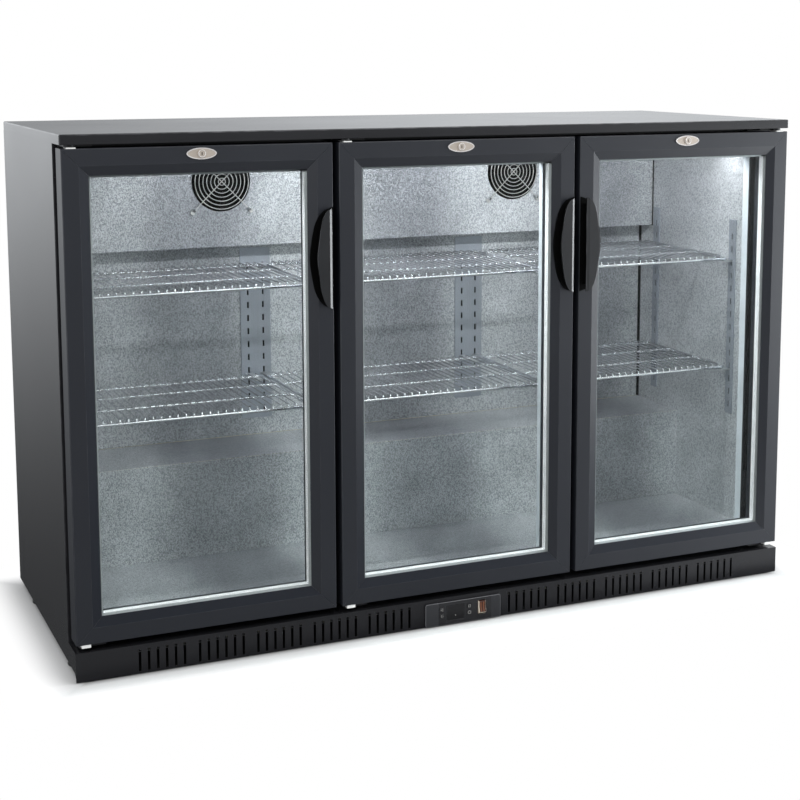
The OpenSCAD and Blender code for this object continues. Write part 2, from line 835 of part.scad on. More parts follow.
module key(index) {
  place = key_places()[index];
  color([0.55, 0.57, 0.58]) placed() translate([bezel_x + place[0], 0, bezel_z + place[1]])
    span([-key_w / 2, -bezel_t - key_proud, -key_w / 2], [key_w / 2, -sheet, key_w / 2]);
}

module key_up() { key(0); }

module key_down() { key(1); }

module key_lamp() { key(2); }

module key_defrost() { key(3); }

// Machine space
module compressor() {
  dome = comp_r / 2;
  plate = 3;
  mount_in = comp_r * 0.8;
  y = (machine_y + back_y) / 2;
  z0 = base_z + comp_mount;
  color(black) placed() translate([comp_x, y, 0]) {
    translate([0, 0, z0]) rotate_extrude() difference() {
      union() {
        rect(0, 0, comp_r, comp_h - dome);
        translate([0, comp_h - dome]) intersection() {
          circle(r = comp_r);
          rect(0, 0, comp_r, dome);
        }
      }
      rect(-comp_r, 0, 0, comp_h);
    }
    span([-comp_r, -mount_in - 8, z0 - plate], [comp_r, mount_in + 8, z0]);
    for (sx = [-1, 1], sy = [-1, 1])
      translate([sx * mount_in, sy * mount_in, base_z]) cylinder(r = 7, h = comp_mount);
  }
}

module condenser() {
  side = 6;
  fin_step = 13;
  fin_t = 8;
  tube_r = 4;
  count = floor((cond_l - 2 * side) / fin_step);
  color(alu) placed() translate([cond_x, cond_y, base_z]) {
    both_sides() translate([cond_l / 2 - side, 0, 0]) cube([side, cond_d, cond_h]);
    for (k = [0 : count - 1])
      translate([(k - (count - 1) / 2) * fin_step - fin_t / 2, 0, 0]) cube([fin_t, cond_d, cond_h]);
    for (row = [1 : 4])
      translate([-cond_l / 2, cond_d / 2, row * cond_h / 5])
        rotate([0, 90, 0]) cylinder(r = tube_r, h = cond_l);
  }
}

module cord_gland() {
  collar = 4;
  collar_r = gland_r + 3;
  color(charcoal) placed() translate([gland_x, 0, gland_height()]) difference() {
    union() {
      y_rod(0, 0, gland_r - joint_gap, back_y - sheet - 8, back_y + 2);
      y_rod(0, 0, collar_r, back_y, back_y + collar);
    }
    y_rod(0, 0, gland_bore, back_y - sheet - 9, back_y + collar + 1);
  }
}

module levelling_feet() {
  color(black) placed() for (sx = [-1, 1], y = [glide_front, glide_rear])
    translate([sx * (x_side - glide_in), y, 0]) {
      cylinder(r = glide_r, h = glide_h);
      cylinder(r = stem_r, h = base_lift);
    }
}

// Hinges
function hinge_side(i) = i == door_count - 1 ? -1 : 1;
function hinge_x(i) =
  hinge_side(i) > 0 ? door_x(i) + hinge_in : door_x(i) + door_w - hinge_in;

// Bracket under a door, its plate at Z = 0 and its leg on the front of the cabin
module hinge_bracket(pin_h, leg_h) {
  nose = flange_r + 1.5;
  far = plate_l - nose;
  linear_extrude(plate_t) union() {
    translate([0, hinge_back]) circle(r = nose);
    rect(-nose, hinge_back, far, face_y);
  }
  span([-nose, face_y - plate_t, 0], [far, face_y, leg_h]);
  translate([0, hinge_back, 0]) cylinder(r = pin_r, h = pin_h);
}

module hinge_brackets() {
  color(zinc) placed() for (i = [0 : door_count - 1])
    translate([hinge_x(i), 0, 0]) mirror([hinge_side(i) > 0 ? 0 : 1, 0, 0]) {
      translate([0, 0, plate_bottom])
        hinge_bracket(door_z0 + pin_l - plate_bottom, leg_bottom_h);
      translate([0, 0, plate_top + plate_t]) mirror([0, 0, 1])
        hinge_bracket(plate_top + plate_t - door_z1 + pin_l, leg_top_h);
    }
}

// Screw along Y with its head in front of the face at y; turn is 180 for a rear face
module screw(x, y, z, turn) {
  translate([x, y, z]) rotate([0, 0, turn]) {
    y_rod(0, 0, head_r, -head_h, 0);
    y_rod(0, 0, shank_r, -head_h / 2, shank_l);
  }
}

module screws() {
  leg_y = face_y - plate_t;
  leg_in = 7;
  rear_count = 6;
  rear_pitch = (cab_w - 2 * wall) / (rear_count - 1);
  edge = 12;
  color(zinc) placed() {
    for (i = [0 : door_count - 1], along = [0, plate_l / 2],
         z = [plate_top + plate_t - leg_top_h + leg_in, plate_bottom + leg_bottom_h - leg_in])
      screw(hinge_x(i) + hinge_side(i) * along, leg_y, z, 0);
    for (s = [-1, 1], a = [-1, 1], b = [-1, 1])
      screw(s * fan_x + a * ear, cover_y - guard_gap - guard_t, fan_z + b * ear, 0);
    for (k = [0 : rear_count - 1], z = [lip_z - edge, machine_z + edge, machine_z - edge, base_z + edge])
      screw((k - (rear_count - 1) / 2) * rear_pitch, back_y, z, 180);
  }
}

// Doors: each is drawn with its hinge edge at X = 0 and its lower edge at Z = 0
module door_place(i) {
  placed() translate([hinge_side(i) > 0 ? door_x(i) : door_x(i) + door_w, 0, door_z0])
    mirror([hinge_side(i) > 0 ? 0 : 1, 0, 0]) children();
}

module rail_section() {
  back = glass_y + unit_d + glass_play;
  groove = glass_in - glass_play;
  polygon([[rail_chamfer, 0], [0, rail_chamfer], [0, rail_flat], [bevel_d, rail_w],
           [glass_y - glass_play, rail_w], [glass_y - glass_play, groove], [back, groove],
           [back, rail_w], [door_d, rail_w], [door_d, 0]]);
}

module door_frame(i) {
  color(black) door_place(i) difference() {
    mitred_frame(door_w, door_h, rail_w, door_d) rail_section();
    for (z = [-1, door_h - bush_depth])
      translate([hinge_in, hinge_back, z]) cylinder(r = bush_r + bush_fit, h = bush_depth + 1);
    y_rod(door_w / 2, door_h - lock_drop, barrel_r + run_clear, -1, door_d + 1);
  }
}

module door_glass(i) {
  color(clear) door_place(i) for (y = [glass_y, glass_y + pane_t + spacer_d])
    span([glass_in, y, glass_in], [door_w - glass_in, y + pane_t, door_h - glass_in]);
}

module door_spacer(i) {
  inset = rail_w + spacer_show - spacer_w;
  y0 = glass_y + pane_t;
  color(alu) door_place(i) translate([inset, y0, inset])
    mitred_frame(door_w - 2 * inset, door_h - 2 * inset, spacer_w, spacer_d)
      square([spacer_d, spacer_w]);
}

// Bellows section with a waist between the foot and the sealing lip
module gasket_section() {
  waist = gasket_w / 6;
  polygon([[0, 0], [gasket_d / 3, 0], [gasket_d / 2, waist], [gasket_d * 2 / 3, 0], [gasket_d, 0],
           [gasket_d, gasket_w], [gasket_d * 2 / 3, gasket_w], [gasket_d / 2, gasket_w - waist],
           [gasket_d / 3, gasket_w], [0, gasket_w]]);
}

module door_gasket(i) {
  color([0.05, 0.05, 0.05]) door_place(i) translate([gasket_side, door_d, gasket_bottom])
    mitred_frame(door_w - 2 * gasket_side, door_h - gasket_top - gasket_bottom, gasket_w, gasket_d)
      gasket_section();
}

// D shape with its straight side at X = 0: full ends and a swell at the middle
module d_outline(w, h, bump) {
  steps = 40;
  swell = 0.3;
  polygon([for (k = [0 : steps]) let (t = 2 * k / steps - 1)
    [w * sqrt(max(0, 1 - pow(abs(t), 3))) + bump * exp(-pow(t / swell, 2)), t * h / 2]]);
}

module door_handle(i) {
  neck_h = handle_h - 24;
  foot_in = 1;
  color(charcoal) door_place(i)
    translate([door_w, 0, handle_z - door_z0]) mirror([1, 0, 0]) {
      translate([foot_in, 0, 0]) y_plate(-foot_t, 0) d_outline(foot_w, handle_h, foot_bump);
      translate([grip_in, 0, 0]) {
        y_plate(grip_t / 2 - handle_proud, -foot_t / 2)
          d_outline(grip_w - groove_w, neck_h, 0);
        y_plate(-handle_proud, grip_t - handle_proud) d_outline(grip_w, handle_h, grip_bump);
      }
    }
}

// Oval with slightly pointed ends
module pointed_oval(w, h) {
  steps = 72;
  point = 1.25;
  polygon([for (k = [0 : steps - 1]) let (a = 360 * k / steps)
    [w / 2 * cos(a), h / 2 * sign(sin(a)) * pow(abs(sin(a)), point)]]);
}

module door_escutcheon(i) {
  color([0.80, 0.77, 0.72]) door_place(i)
    translate([door_w / 2, 0, door_h - lock_drop]) y_plate(-plaque_t, 0) difference() {
      pointed_oval(plaque_w, plaque_h);
      circle(r = barrel_r + run_clear);
    }
}

module door_bushes(i) {
  color(white) door_place(i) translate([hinge_in, hinge_back, 0]) difference() {
    union() {
      translate([0, 0, -flange_bottom]) cylinder(r = flange_r, h = flange_bottom);
      cylinder(r = bush_r, h = bush_depth);
      translate([0, 0, door_h]) cylinder(r = flange_r, h = flange_top);
      translate([0, 0, door_h - bush_depth]) cylinder(r = bush_r, h = bush_depth);
    }
    for (z = [-flange_bottom - 1, door_h - bush_depth - 1])
      translate([0, 0, z]) cylinder(r = pin_r + run_clear, h = flange_bottom + bush_depth + 2);
  }
}

// Barrel through the upper rail with a cam that lies sideways while the door is unlocked
module lock(i) {
  cam_y = door_d + 0.5;
  color([0.78, 0.76, 0.72]) placed() translate([door_x(i) + door_w / 2, 0, lock_z]) {
    y_rod(0, 0, barrel_r, -plaque_t - barrel_proud, cam_y);
    y_rod(0, 0, cam_w / 2, cam_y - 1, cam_y + cam_t);
    span([0, cam_y, -cam_w / 2], [cam_l, cam_y + cam_t, cam_w / 2]);
  }
}

module lock_left() { lock(0); }

module lock_middle() { lock(1); }

module lock_right() { lock(2); }

worktop();
side_panel_left();
side_panel_right();
back_panel();
rear_grille();
base_pan();
front_frame();
throat_trim();
insulation();
inner_liner();
machine_housing();
evaporator_cover();
evaporator_coil();
fan_frames();
fan_guards();
shelf_standards();
shelf_clips();
wire_shelves();
led_lamp();
plinth();
control_bezel();
display_window();
hinge_brackets();
screws();
compressor();
condenser();
cord_gland();
levelling_feet();
door_frame(0);  // door_left_frame
door_glass(0);  // door_left_glass
door_spacer(0);  // door_left_spacer
door_gasket(0);  // door_left_gasket
door_handle(0);  // door_left_handle
door_escutcheon(0);  // door_left_escutcheon
door_bushes(0);  // door_left_bushes
door_frame(1);  // door_middle_frame
door_glass(1);  // door_middle_glass
door_spacer(1);  // door_middle_spacer
door_gasket(1);  // door_middle_gasket
door_handle(1);  // door_middle_handle
door_escutcheon(1);  // door_middle_escutcheon
door_bushes(1);  // door_middle_bushes
door_frame(2);  // door_right_frame
door_glass(2);  // door_right_glass
door_spacer(2);  // door_right_spacer
door_gasket(2);  // door_right_gasket
door_handle(2);  // door_right_handle
door_escutcheon(2);  // door_right_escutcheon
door_bushes(2);  // door_right_bushes
lock_left();
lock_middle();
lock_right();
fan_rotor_left();
fan_rotor_right();
condenser_rotor();
rocker_switch();
key_up();
key_down();
key_lamp();
key_defrost();
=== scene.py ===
"""Dresses a three-door under-counter bar cooler: finishes, wire work, locks, controls and a plain studio."""

import logging
import math
from dataclasses import dataclass, replace
from enum import Enum
from typing import Any, Callable, Iterable, Sequence

import bmesh
import bpy
from mathutils import Matrix, Vector


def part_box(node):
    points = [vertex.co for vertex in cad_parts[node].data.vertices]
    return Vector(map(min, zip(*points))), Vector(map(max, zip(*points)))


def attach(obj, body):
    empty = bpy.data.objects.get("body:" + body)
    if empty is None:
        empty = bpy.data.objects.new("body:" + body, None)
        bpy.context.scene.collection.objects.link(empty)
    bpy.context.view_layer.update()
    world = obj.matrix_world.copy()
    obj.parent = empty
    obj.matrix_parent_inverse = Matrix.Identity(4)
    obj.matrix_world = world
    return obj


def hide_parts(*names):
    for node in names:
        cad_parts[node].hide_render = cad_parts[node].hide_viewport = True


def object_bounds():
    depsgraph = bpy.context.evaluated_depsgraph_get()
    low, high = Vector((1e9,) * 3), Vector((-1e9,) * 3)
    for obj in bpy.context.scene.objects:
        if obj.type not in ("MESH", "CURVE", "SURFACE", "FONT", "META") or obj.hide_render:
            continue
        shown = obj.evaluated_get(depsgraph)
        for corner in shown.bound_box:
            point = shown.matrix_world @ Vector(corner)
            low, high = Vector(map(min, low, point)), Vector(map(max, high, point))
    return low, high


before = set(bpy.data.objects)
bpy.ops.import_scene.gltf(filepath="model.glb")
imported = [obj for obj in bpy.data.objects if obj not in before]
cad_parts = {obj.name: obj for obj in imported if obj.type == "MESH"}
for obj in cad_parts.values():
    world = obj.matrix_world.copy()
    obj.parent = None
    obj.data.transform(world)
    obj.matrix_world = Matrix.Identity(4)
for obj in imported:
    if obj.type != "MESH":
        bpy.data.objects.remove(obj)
CAD_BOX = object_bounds()
LOG = logging.getLogger("bar_cooler")
MM = 0.001

Colour = tuple[float, float, float]
Point = tuple[float, float, float]
Pair = tuple[float, float]
Ramp = tuple[float, float, float, float]
Box = tuple[Vector, Vector]
Socket = bpy.types.NodeSocket
Skin = tuple[Any, Any, Any]
WHITE: Colour = (1.0, 1.0, 1.0)


def rgba(colour: Sequence[float]) -> tuple[float, float, float, float]:
    """Return a colour with full alpha."""
    return (colour[0], colour[1], colour[2], 1.0)


class Graph:
    """Short calls for adding, setting and wiring the nodes of one shader tree."""

    def __init__(self, tree: bpy.types.NodeTree) -> None:
        """Keep the tree that the calls work on."""
        self.tree = tree

    def add(self, kind: str, sockets: dict[str | int, Any] | None = None, **settings: Any) -> bpy.types.Node:
        """Add one node.

        Args:
            kind: Node type, without its ShaderNode prefix.
            sockets: Input name or number, with its value or the output that feeds it.
            **settings: Properties of the node, set before its sockets.

        Returns:
            The new node.
        """
        node = self.tree.nodes.new(kind if kind.startswith("Node") else f"ShaderNode{kind}")
        for key, value in settings.items():
            setattr(node, key, value)
        for key, value in (sockets or {}).items():
            self.feed(node.inputs[key], value)
        return node

    def feed(self, socket: Socket, value: Any) -> None:
        """Set an input to a value, or link it to an output."""
        if isinstance(value, Socket):
            self.tree.links.new(value, socket)
        else:
            socket.default_value = value

    def math(self, operation: str, first: Any, second: Any = 0.0) -> Socket:
        """Return the result of a math node on two values."""
        return self.add("Math", {0: first, 1: second}, operation=operation).outputs[0]

    def plus(self, first: Any, second: Any) -> Socket:
        """Return the sum of two values."""
        return self.math("ADD", first, second)

    def minus(self, first: Any, second: Any) -> Socket:
        """Return the first value less the second."""
        return self.math("SUBTRACT", first, second)

    def times(self, first: Any, second: Any) -> Socket:
        """Return the product of two values."""
        return self.math("MULTIPLY", first, second)

    def over(self, first: Any, second: Any) -> Socket:
        """Return the first value divided by the second."""
        return self.math("DIVIDE", first, second)

    def most(self, first: Any, second: Any) -> Socket:
        """Return the larger of two values."""
        return self.math("MAXIMUM", first, second)

    def size(self, value: Any) -> Socket:
        """Return a value without its sign."""
        return self.math("ABSOLUTE", value)

    def past(self, value: Any, limit: float) -> Socket:
        """Return a mask that is 1 where a value is past a limit."""
        return self.math("GREATER_THAN", value, limit)

    def share(self, first: Any, part: float, second: Any) -> Socket:
        """Return two values blended, with the part that the first one has."""
        return self.plus(self.times(first, part), self.times(second, 1.0 - part))

    def cell(self, value: Any, pitch: float) -> Socket:
        """Return how far a value lies along its cell of a pitch, from 0 to 1."""
        return self.math("FRACT", self.over(value, pitch))

    def ease(self, value: Any, low: float, high: float, start: Any = 0.0, end: Any = 1.0) -> Socket:
        """Return a value mapped smoothly from low..high to start..end."""
        sockets = {0: value, 1: low, 2: high, 3: start, 4: end}
        return self.add("MapRange", sockets, interpolation_type="SMOOTHSTEP").outputs[0]

    def band(self, value: Any, middle: float, half: float, blur: float) -> Socket:
        """Return a mask that is 1 within half of a middle value."""
        return self.ease(self.size(self.minus(value, middle)), half - blur, half + blur, 1.0, 0.0)

    def tint(self, mask: Any, first: Any, second: Any, how: str = "MIX") -> Socket:
        """Return two colours mixed by a mask."""
        return self.add("Mix", {0: mask, 6: first, 7: second}, data_type="RGBA", blend_type=how).outputs[2]

    def shaded(self, colour: Any, shade: Any) -> Socket:
        """Return a colour multiplied by a shade."""
        return self.tint(1.0, colour, shade, "MULTIPLY")

    def noise(self, place: Any, scale: float, detail: float = 2.0, distortion: float = 0.0) -> Socket:
        """Return the value of a noise texture."""
        sockets = {"Vector": place, "Scale": scale, "Detail": detail, "Distortion": distortion}
        return self.add("TexNoise", sockets).outputs[0]

    def place(self) -> Socket:
        """Return the object's own coordinates."""
        return self.add("TexCoord").outputs["Object"]

    def edge(self) -> Socket:
        """Return the mask of the rounded edges."""
        return self.add("Attribute", attribute_name="edge").outputs["Fac"]

    def axes(self, place: Any) -> Sequence[Socket]:
        """Return the three axes of a vector."""
        return self.add("SeparateXYZ", {0: place}).outputs

    def glow(self, kind: str, colour: Colour, strength: Any) -> Socket:
        """Return the shader of an Emission or Background node."""
        return self.add(kind, {"Color": rgba(colour), "Strength": strength}).outputs[0]

    def mixed(self, mask: Any, first: Socket, second: Socket) -> Socket:
        """Return two shaders mixed by a mask."""
        return self.add("MixShader", {0: mask, 1: first, 2: second}).outputs[0]


class Effect(Enum):
    """Surface effects that several finishes share."""

    COAT = "powder coat"
    EMBOSS = "embossed sheet"
    DRAWN = "drawn metal"
    GRAIN = "moulded grain"


class EffectLibrary:
    """Builds each shared effect once, as a shader node group.

    Cells are counted per metre, and each range gives the noise values between which a mask rises.
    """

    INPUTS = (
        ("Colour", "NodeSocketColor"),
        ("Roughness", "NodeSocketFloat"),
        ("Scale", "NodeSocketVector"),
        ("Spread", "NodeSocketFloat"),
        ("Edge", "NodeSocketFloat"),
    )
    OUTPUTS = (("Colour", "NodeSocketColor"), ("Roughness", "NodeSocketFloat"), ("Height", "NodeSocketFloat"))
    WEAR_CELLS = 35.0
    WEAR_RANGE = (0.35, 0.7)
    WEAR_LIFT = 0.5
    WEAR_POLISH = 0.06
    WEAR_COLOUR = (0.10, 0.10, 0.11)
    HAZE_CELLS = 4.5
    HAZE_RANGE = (0.42, 0.74)
    HAZE_COLOUR = (0.030, 0.031, 0.035)
    SPECK_CELLS = 140.0
    CREST_RANGE = (0.01, 0.11)
    # Painted shade in the stucco grooves, and painted lamp reflection bands across the sheet.
    CREST_PAINTED_SHADE = (0.48, 0.485, 0.50)
    EMBOSS_CLOUD_CELLS = 3.0
    PAINTED_SHEEN_TURN = 14.96
    PAINTED_SHEEN_START = 0.51
    PAINTED_SHEEN_DRIFT = 0.10
    PAINTED_SHEEN_LOW = (0.50, 0.50, 0.52)
    LINE_LOW = (0.80, 0.80, 0.81)
    LINE_CLOUD_CELLS = 9.0
    GRAIN_CLOUD_CELLS = 16.0
    GRAIN_LOW = (0.86, 0.86, 0.86)
    GRAIN_HIGH = (1.06, 1.06, 1.06)

    def __init__(self) -> None:
        """Start with no group built."""
        self._groups: dict[Effect, bpy.types.NodeTree] = {}

    def group(self, effect: Effect) -> bpy.types.NodeTree:
        """Return the node group of an effect.

        Args:
            effect: The effect wanted.

        Returns:
            Its node group, built at the first call.
        """
        if effect not in self._groups:
            tree = bpy.data.node_groups.new(effect.value, "ShaderNodeTree")
            for in_out, rows in (("INPUT", self.INPUTS), ("OUTPUT", self.OUTPUTS)):
                for name, kind in rows:
                    tree.interface.new_socket(name=name, in_out=in_out, socket_type=kind)
            graph = Graph(tree)
            given = graph.add("NodeGroupInput").outputs
            place = graph.place()
            fine = graph.add("Mapping", {"Vector": place, "Scale": given["Scale"]}).outputs[0]
            build = {
                Effect.COAT: self._coat,
                Effect.EMBOSS: self._emboss,
                Effect.DRAWN: self._drawn,
                Effect.GRAIN: self._grain,
            }[effect]
            colour, rough, height = build(graph, given, place, fine)
            patchy = graph.ease(graph.noise(place, self.WEAR_CELLS, 4.0), *self.WEAR_RANGE)
            worn = graph.times(given["Edge"], patchy)
            colour = graph.tint(graph.times(worn, self.WEAR_LIFT), colour, rgba(self.WEAR_COLOUR), "ADD")
            rough = graph.minus(rough, graph.times(worn, self.WEAR_POLISH))
            graph.add("NodeGroupOutput", {"Colour": colour, "Roughness": rough, "Height": height})
            self._groups[effect] = tree
        return self._groups[effect]

    @staticmethod
    def _rough(graph: Graph, given: Any, cloud: Any) -> Socket:
        """Return the given roughness, spread by a cloudy value."""
        return graph.plus(given["Roughness"], graph.times(graph.minus(cloud, 0.5), given["Spread"]))

    def _coat(self, graph: Graph, given: Any, place: Any, fine: Any) -> Skin:
        """Return colour, roughness and height of a sprayed coat with orange peel and faint wiping haze."""
        cloud = graph.noise(place, self.HAZE_CELLS, 4.0, 0.4)
        speck = graph.noise(place, self.SPECK_CELLS, 2.0)
        haze = graph.times(graph.ease(cloud, *self.HAZE_RANGE), given["Spread"])
        colour = graph.tint(haze, given["Colour"], rgba(self.HAZE_COLOUR), "ADD")
        return colour, self._rough(graph, given, graph.share(cloud, 0.8, speck)), graph.noise(fine, 1.0, 2.0)

    def _emboss(self, graph: Graph, given: Any, place: Any, fine: Any) -> Skin:
        """Return colour, roughness and height of sheet rolled with a stucco pattern, with painted shade in its
        grooves and painted lamp reflection bands across it.
        """
        wander = graph.noise(fine, 1.0, 1.0, 0.7)
        crest = graph.ease(graph.size(graph.minus(wander, 0.5)), *self.CREST_RANGE)
        cloud = graph.noise(place, self.EMBOSS_CLOUD_CELLS, 3.0)
        # Painted shade: the grooves of the stucco pattern are coloured darker.
        shade = graph.tint(crest, rgba(self.CREST_PAINTED_SHADE), rgba(WHITE))
        # Painted reflection: bands along X, about one per bay, stand for glints of the cabin lamp.
        across = graph.plus(graph.axes(place)[0], graph.times(cloud, self.PAINTED_SHEEN_DRIFT))
        painted_sheen = graph.math("COSINE", graph.times(graph.plus(across, self.PAINTED_SHEEN_START), self.PAINTED_SHEEN_TURN))
        shade = graph.tint(graph.ease(painted_sheen, -1.0, 1.0), graph.shaded(shade, rgba(self.PAINTED_SHEEN_LOW)), shade)
        colour = graph.shaded(given["Colour"], shade)
        return colour, self._rough(graph, given, graph.share(crest, 0.5, cloud)), crest

    def _drawn(self, graph: Graph, given: Any, place: Any, fine: Any) -> Skin:
        """Return colour, roughness and height of metal with fine lines along one axis."""
        lines = graph.noise(fine, 1.0, 3.0)
        cloud = graph.noise(place, self.LINE_CLOUD_CELLS, 3.0)
        colour = graph.shaded(given["Colour"], graph.tint(lines, rgba(self.LINE_LOW), rgba(WHITE)))
        return colour, self._rough(graph, given, graph.share(lines, 0.6, cloud)), lines

    def _grain(self, graph: Graph, given: Any, place: Any, fine: Any) -> Skin:
        """Return colour, roughness and height of moulded plastic or rubber with a pebbled skin."""
        pebble = graph.add("TexVoronoi", {"Vector": fine, "Scale": 1.0}, feature="SMOOTH_F1")
        cloud = graph.noise(place, self.GRAIN_CLOUD_CELLS, 3.0)
        shade = graph.tint(cloud, rgba(self.GRAIN_LOW), rgba(self.GRAIN_HIGH))
        colour = graph.shaded(given["Colour"], shade)
        return colour, self._rough(graph, given, cloud), pebble.outputs["Distance"]


EFFECTS = EffectLibrary()


@dataclass(frozen=True)
class Finish:
    """A procedural finish: one shared effect on a principled shader.

    Attributes:
        name: Name of the material.
        slot: Material slot of the record; not used.
        effect: Shared surface effect.
        colour: Base colour.
        roughness: Mean roughness.
        metallic: Metal or not.
        scale: Cells of the effect per metre along each axis.
        spread: How far roughness wanders.
        relief: Height of the surface texture in millimetres.
        specular: Strength of the mirror reflection.
    """

    name: str
    slot: str
    effect: Effect
    colour: Colour
    roughness: float = 0.4
    metallic: float = 0.0
    scale: Point = (700.0, 700.0, 700.0)
    spread: float = 0.12
    relief: float = 0.01
    specular: float = 0.5

    def material(self) -> bpy.types.Material:
        """Return the material, built at the first call."""
        made = bpy.data.materials.get(self.name)
        if made is None:
            made = bpy.data.materials.new(self.name)
            made.use_nodes = True
            made.diffuse_color = rgba(self.colour)
            self.paint(Graph(made.node_tree))
        return made

    def paint(self, graph: Graph) -> None:
        """Wire the shared effect into the shader.

        Args:
            graph: The material's node tree.
        """
        shader = graph.tree.nodes["Principled BSDF"]
        given = {"Colour": rgba(self.colour), "Roughness": self.roughness, "Scale": self.scale}
        given |= {"Spread": self.spread, "Edge": graph.edge()}
        effect = graph.add("Group", given, node_tree=EFFECTS.group(self.effect)).outputs
        shader.inputs["Metallic"].default_value = self.metallic
        shader.inputs["Specular IOR Level"].default_value = self.specular
        skin = (effect["Colour"], effect["Roughness"], effect["Height"])
        colour, rough, height = self.detail(graph, graph.place(), skin)
        bump = graph.add("Bump", {"Strength": 1.0, "Distance": self.relief * MM, "Height": height})
        graph.feed(shader.inputs["Base Color"], colour)
        graph.feed(shader.inputs["Roughness"], rough)
        graph.feed(shader.inputs["Normal"], bump.outputs[0])
        self.light_up(graph, shader)

    def detail(self, graph: Graph, place: Socket, skin: Skin) -> Skin:
        """Return colour, roughness and height with the finish's own marks."""
        return skin

    def light_up(self, graph: Graph, shader: bpy.types.Node) -> None:
        """Set what else the shader needs."""


@dataclass(frozen=True)
class PanelFinish(Finish):
    """Bezel moulding with a darker gloss foil across its middle and a painted highlight along its rounded rim.

    Attributes:
        foil: Middle and half width of the foil along X in metres.
        foil_colour: Colour of the foil.
        foil_gloss: Roughness of the foil as a share of the moulding's.
        across: Middle and half width of the field within the rim, along X in metres.
        up: Middle and half height of the field within the rim, along Z in metres.
        rim_highlight: Colour of the painted highlight on the rounded edges.
    """

    foil: Pair = (0.008, 0.051)
    foil_colour: Colour = (0.024, 0.024, 0.026)
    foil_gloss: float = 0.45
    across: Pair = (0.005, 0.0700)
    up: Pair = (0.0225, 0.0180)
    rim_highlight: Colour = (0.16, 0.16, 0.17)

    def detail(self, graph: Graph, place: Socket, skin: Skin) -> Skin:
        """Return the moulding's values with the foil and the painted rim highlight laid over them."""
        colour, rough, height = skin
        x, _, z = graph.axes(place)
        foil = graph.band(x, *self.foil, 4.0 * MM)
        within = graph.times(graph.band(x, *self.across, 0.5 * MM), graph.band(z, *self.up, 0.5 * MM))
        colour = graph.tint(foil, colour, rgba(self.foil_colour))
        # Painted highlight: the rounded edges outside the field are coloured paler, as lamp light on them.
        rim = graph.times(graph.edge(), graph.minus(1.0, within))
        colour = graph.tint(rim, colour, rgba(self.rim_highlight))
        gloss = graph.times(rough, self.foil_gloss)
        return colour, graph.plus(graph.times(foil, graph.minus(gloss, rough)), rough), height


@dataclass(frozen=True)
class LiningFinish(Finish):
    """Embossed lining, painted black as shade behind the evaporator cover and along the shadow gaps at the seams of
    the rear corners.

    Attributes:
        behind: Depth in metres from which the lining is painted black as shade.
        above: Height in metres from which the lining is painted black as shade.
        corner: Distance of the seams from the middle in metres.
        seam: Depth in metres at which the rear seams start.
        cover: Depth of the cover's front and height of its foot in metres.
        cover_seam: Half the width of the seam beside the cover in metres.
        black: Colour of the painted shade in the field and seams.
    """

    behind: float = 0.19
    above: float = 0.69
    corner: float = 0.629
    seam: float = 0.192
    cover: Pair = (0.1495, 0.639)
    cover_seam: float = 0.003
    black: Colour = (0.004, 0.004, 0.004)

    def detail(self, graph: Graph, place: Socket, skin: Skin) -> Skin:
        """Return the lining's values with painted shade in the field behind the cover and along the seams."""
        x, y, z = graph.axes(place)
        # Painted shade: the field behind the cover and the gaps at the corner seams lie in shadow, so they are
        # coloured black.
        field = graph.times(graph.past(y, self.behind), graph.past(z, self.above))
        upper = graph.times(graph.band(y, self.cover[0], self.cover_seam, 0.5 * MM), graph.past(z, self.cover[1]))
        line = graph.most(upper, graph.past(y, self.seam))
        seams = graph.times(line, graph.past(graph.size(x), self.corner))
        return graph.tint(graph.most(field, seams), skin[0], rgba(self.black)), skin[1], skin[2]


@dataclass(frozen=True)
class SpacerFinish(Finish):
    """Folded aluminium strip with a row of breathing holes.

    Attributes:
        pitch: Distance of the holes in metres.
        hole: Half the width of a hole as a share of the pitch.
        row: Depth and half width of the row in metres.
        hole_colour: Colour of the holes.
    """

    pitch: float = 0.004
    hole: float = 0.10
    row: Pair = (-0.235, 0.0006)
    hole_colour: Colour = (0.20, 0.20, 0.21)

    def detail(self, graph: Graph, place: Socket, skin: Skin) -> Skin:
        """Return the strip's values with small dark holes along X and Z."""
        x, y, z = graph.axes(place)
        hole = graph.band(graph.cell(graph.plus(x, z), self.pitch), 0.5, self.hole, 0.05)
        hole = graph.times(hole, graph.band(y, *self.row, 0.3 * MM))
        return graph.tint(hole, skin[0], rgba(self.hole_colour)), skin[1], skin[2]


@dataclass(frozen=True)
class FinFinish(Finish):
    """Block of thin fins on tubes, with painted shade in the gaps between fins.

    Attributes:
        pitch: Distance of the fins in metres.
        gap: Half the gap between fins as a share of the pitch.
        gap_shadow: Colour of the painted shade in the gaps.
        gap_shade: How much of that colour shows.
        gap_depth: Depth of the gaps, as a multiple of the relief.
    """

    pitch: float = 0.0032
    gap: float = 0.28
    gap_shadow: Colour = (0.03, 0.03, 0.032)
    gap_shade: float = 0.75
    gap_depth: float = 4.0

    def detail(self, graph: Graph, place: Socket, skin: Skin) -> Skin:
        """Return the block's values with painted shade in the gaps between fins along X."""
        gap = graph.band(graph.cell(graph.axes(place)[0], self.pitch), 0.5, self.gap, 0.10)
        colour = graph.tint(graph.times(gap, self.gap_shade), skin[0], rgba(self.gap_shadow))
        return colour, skin[1], graph.minus(skin[2], graph.times(gap, self.gap_depth))


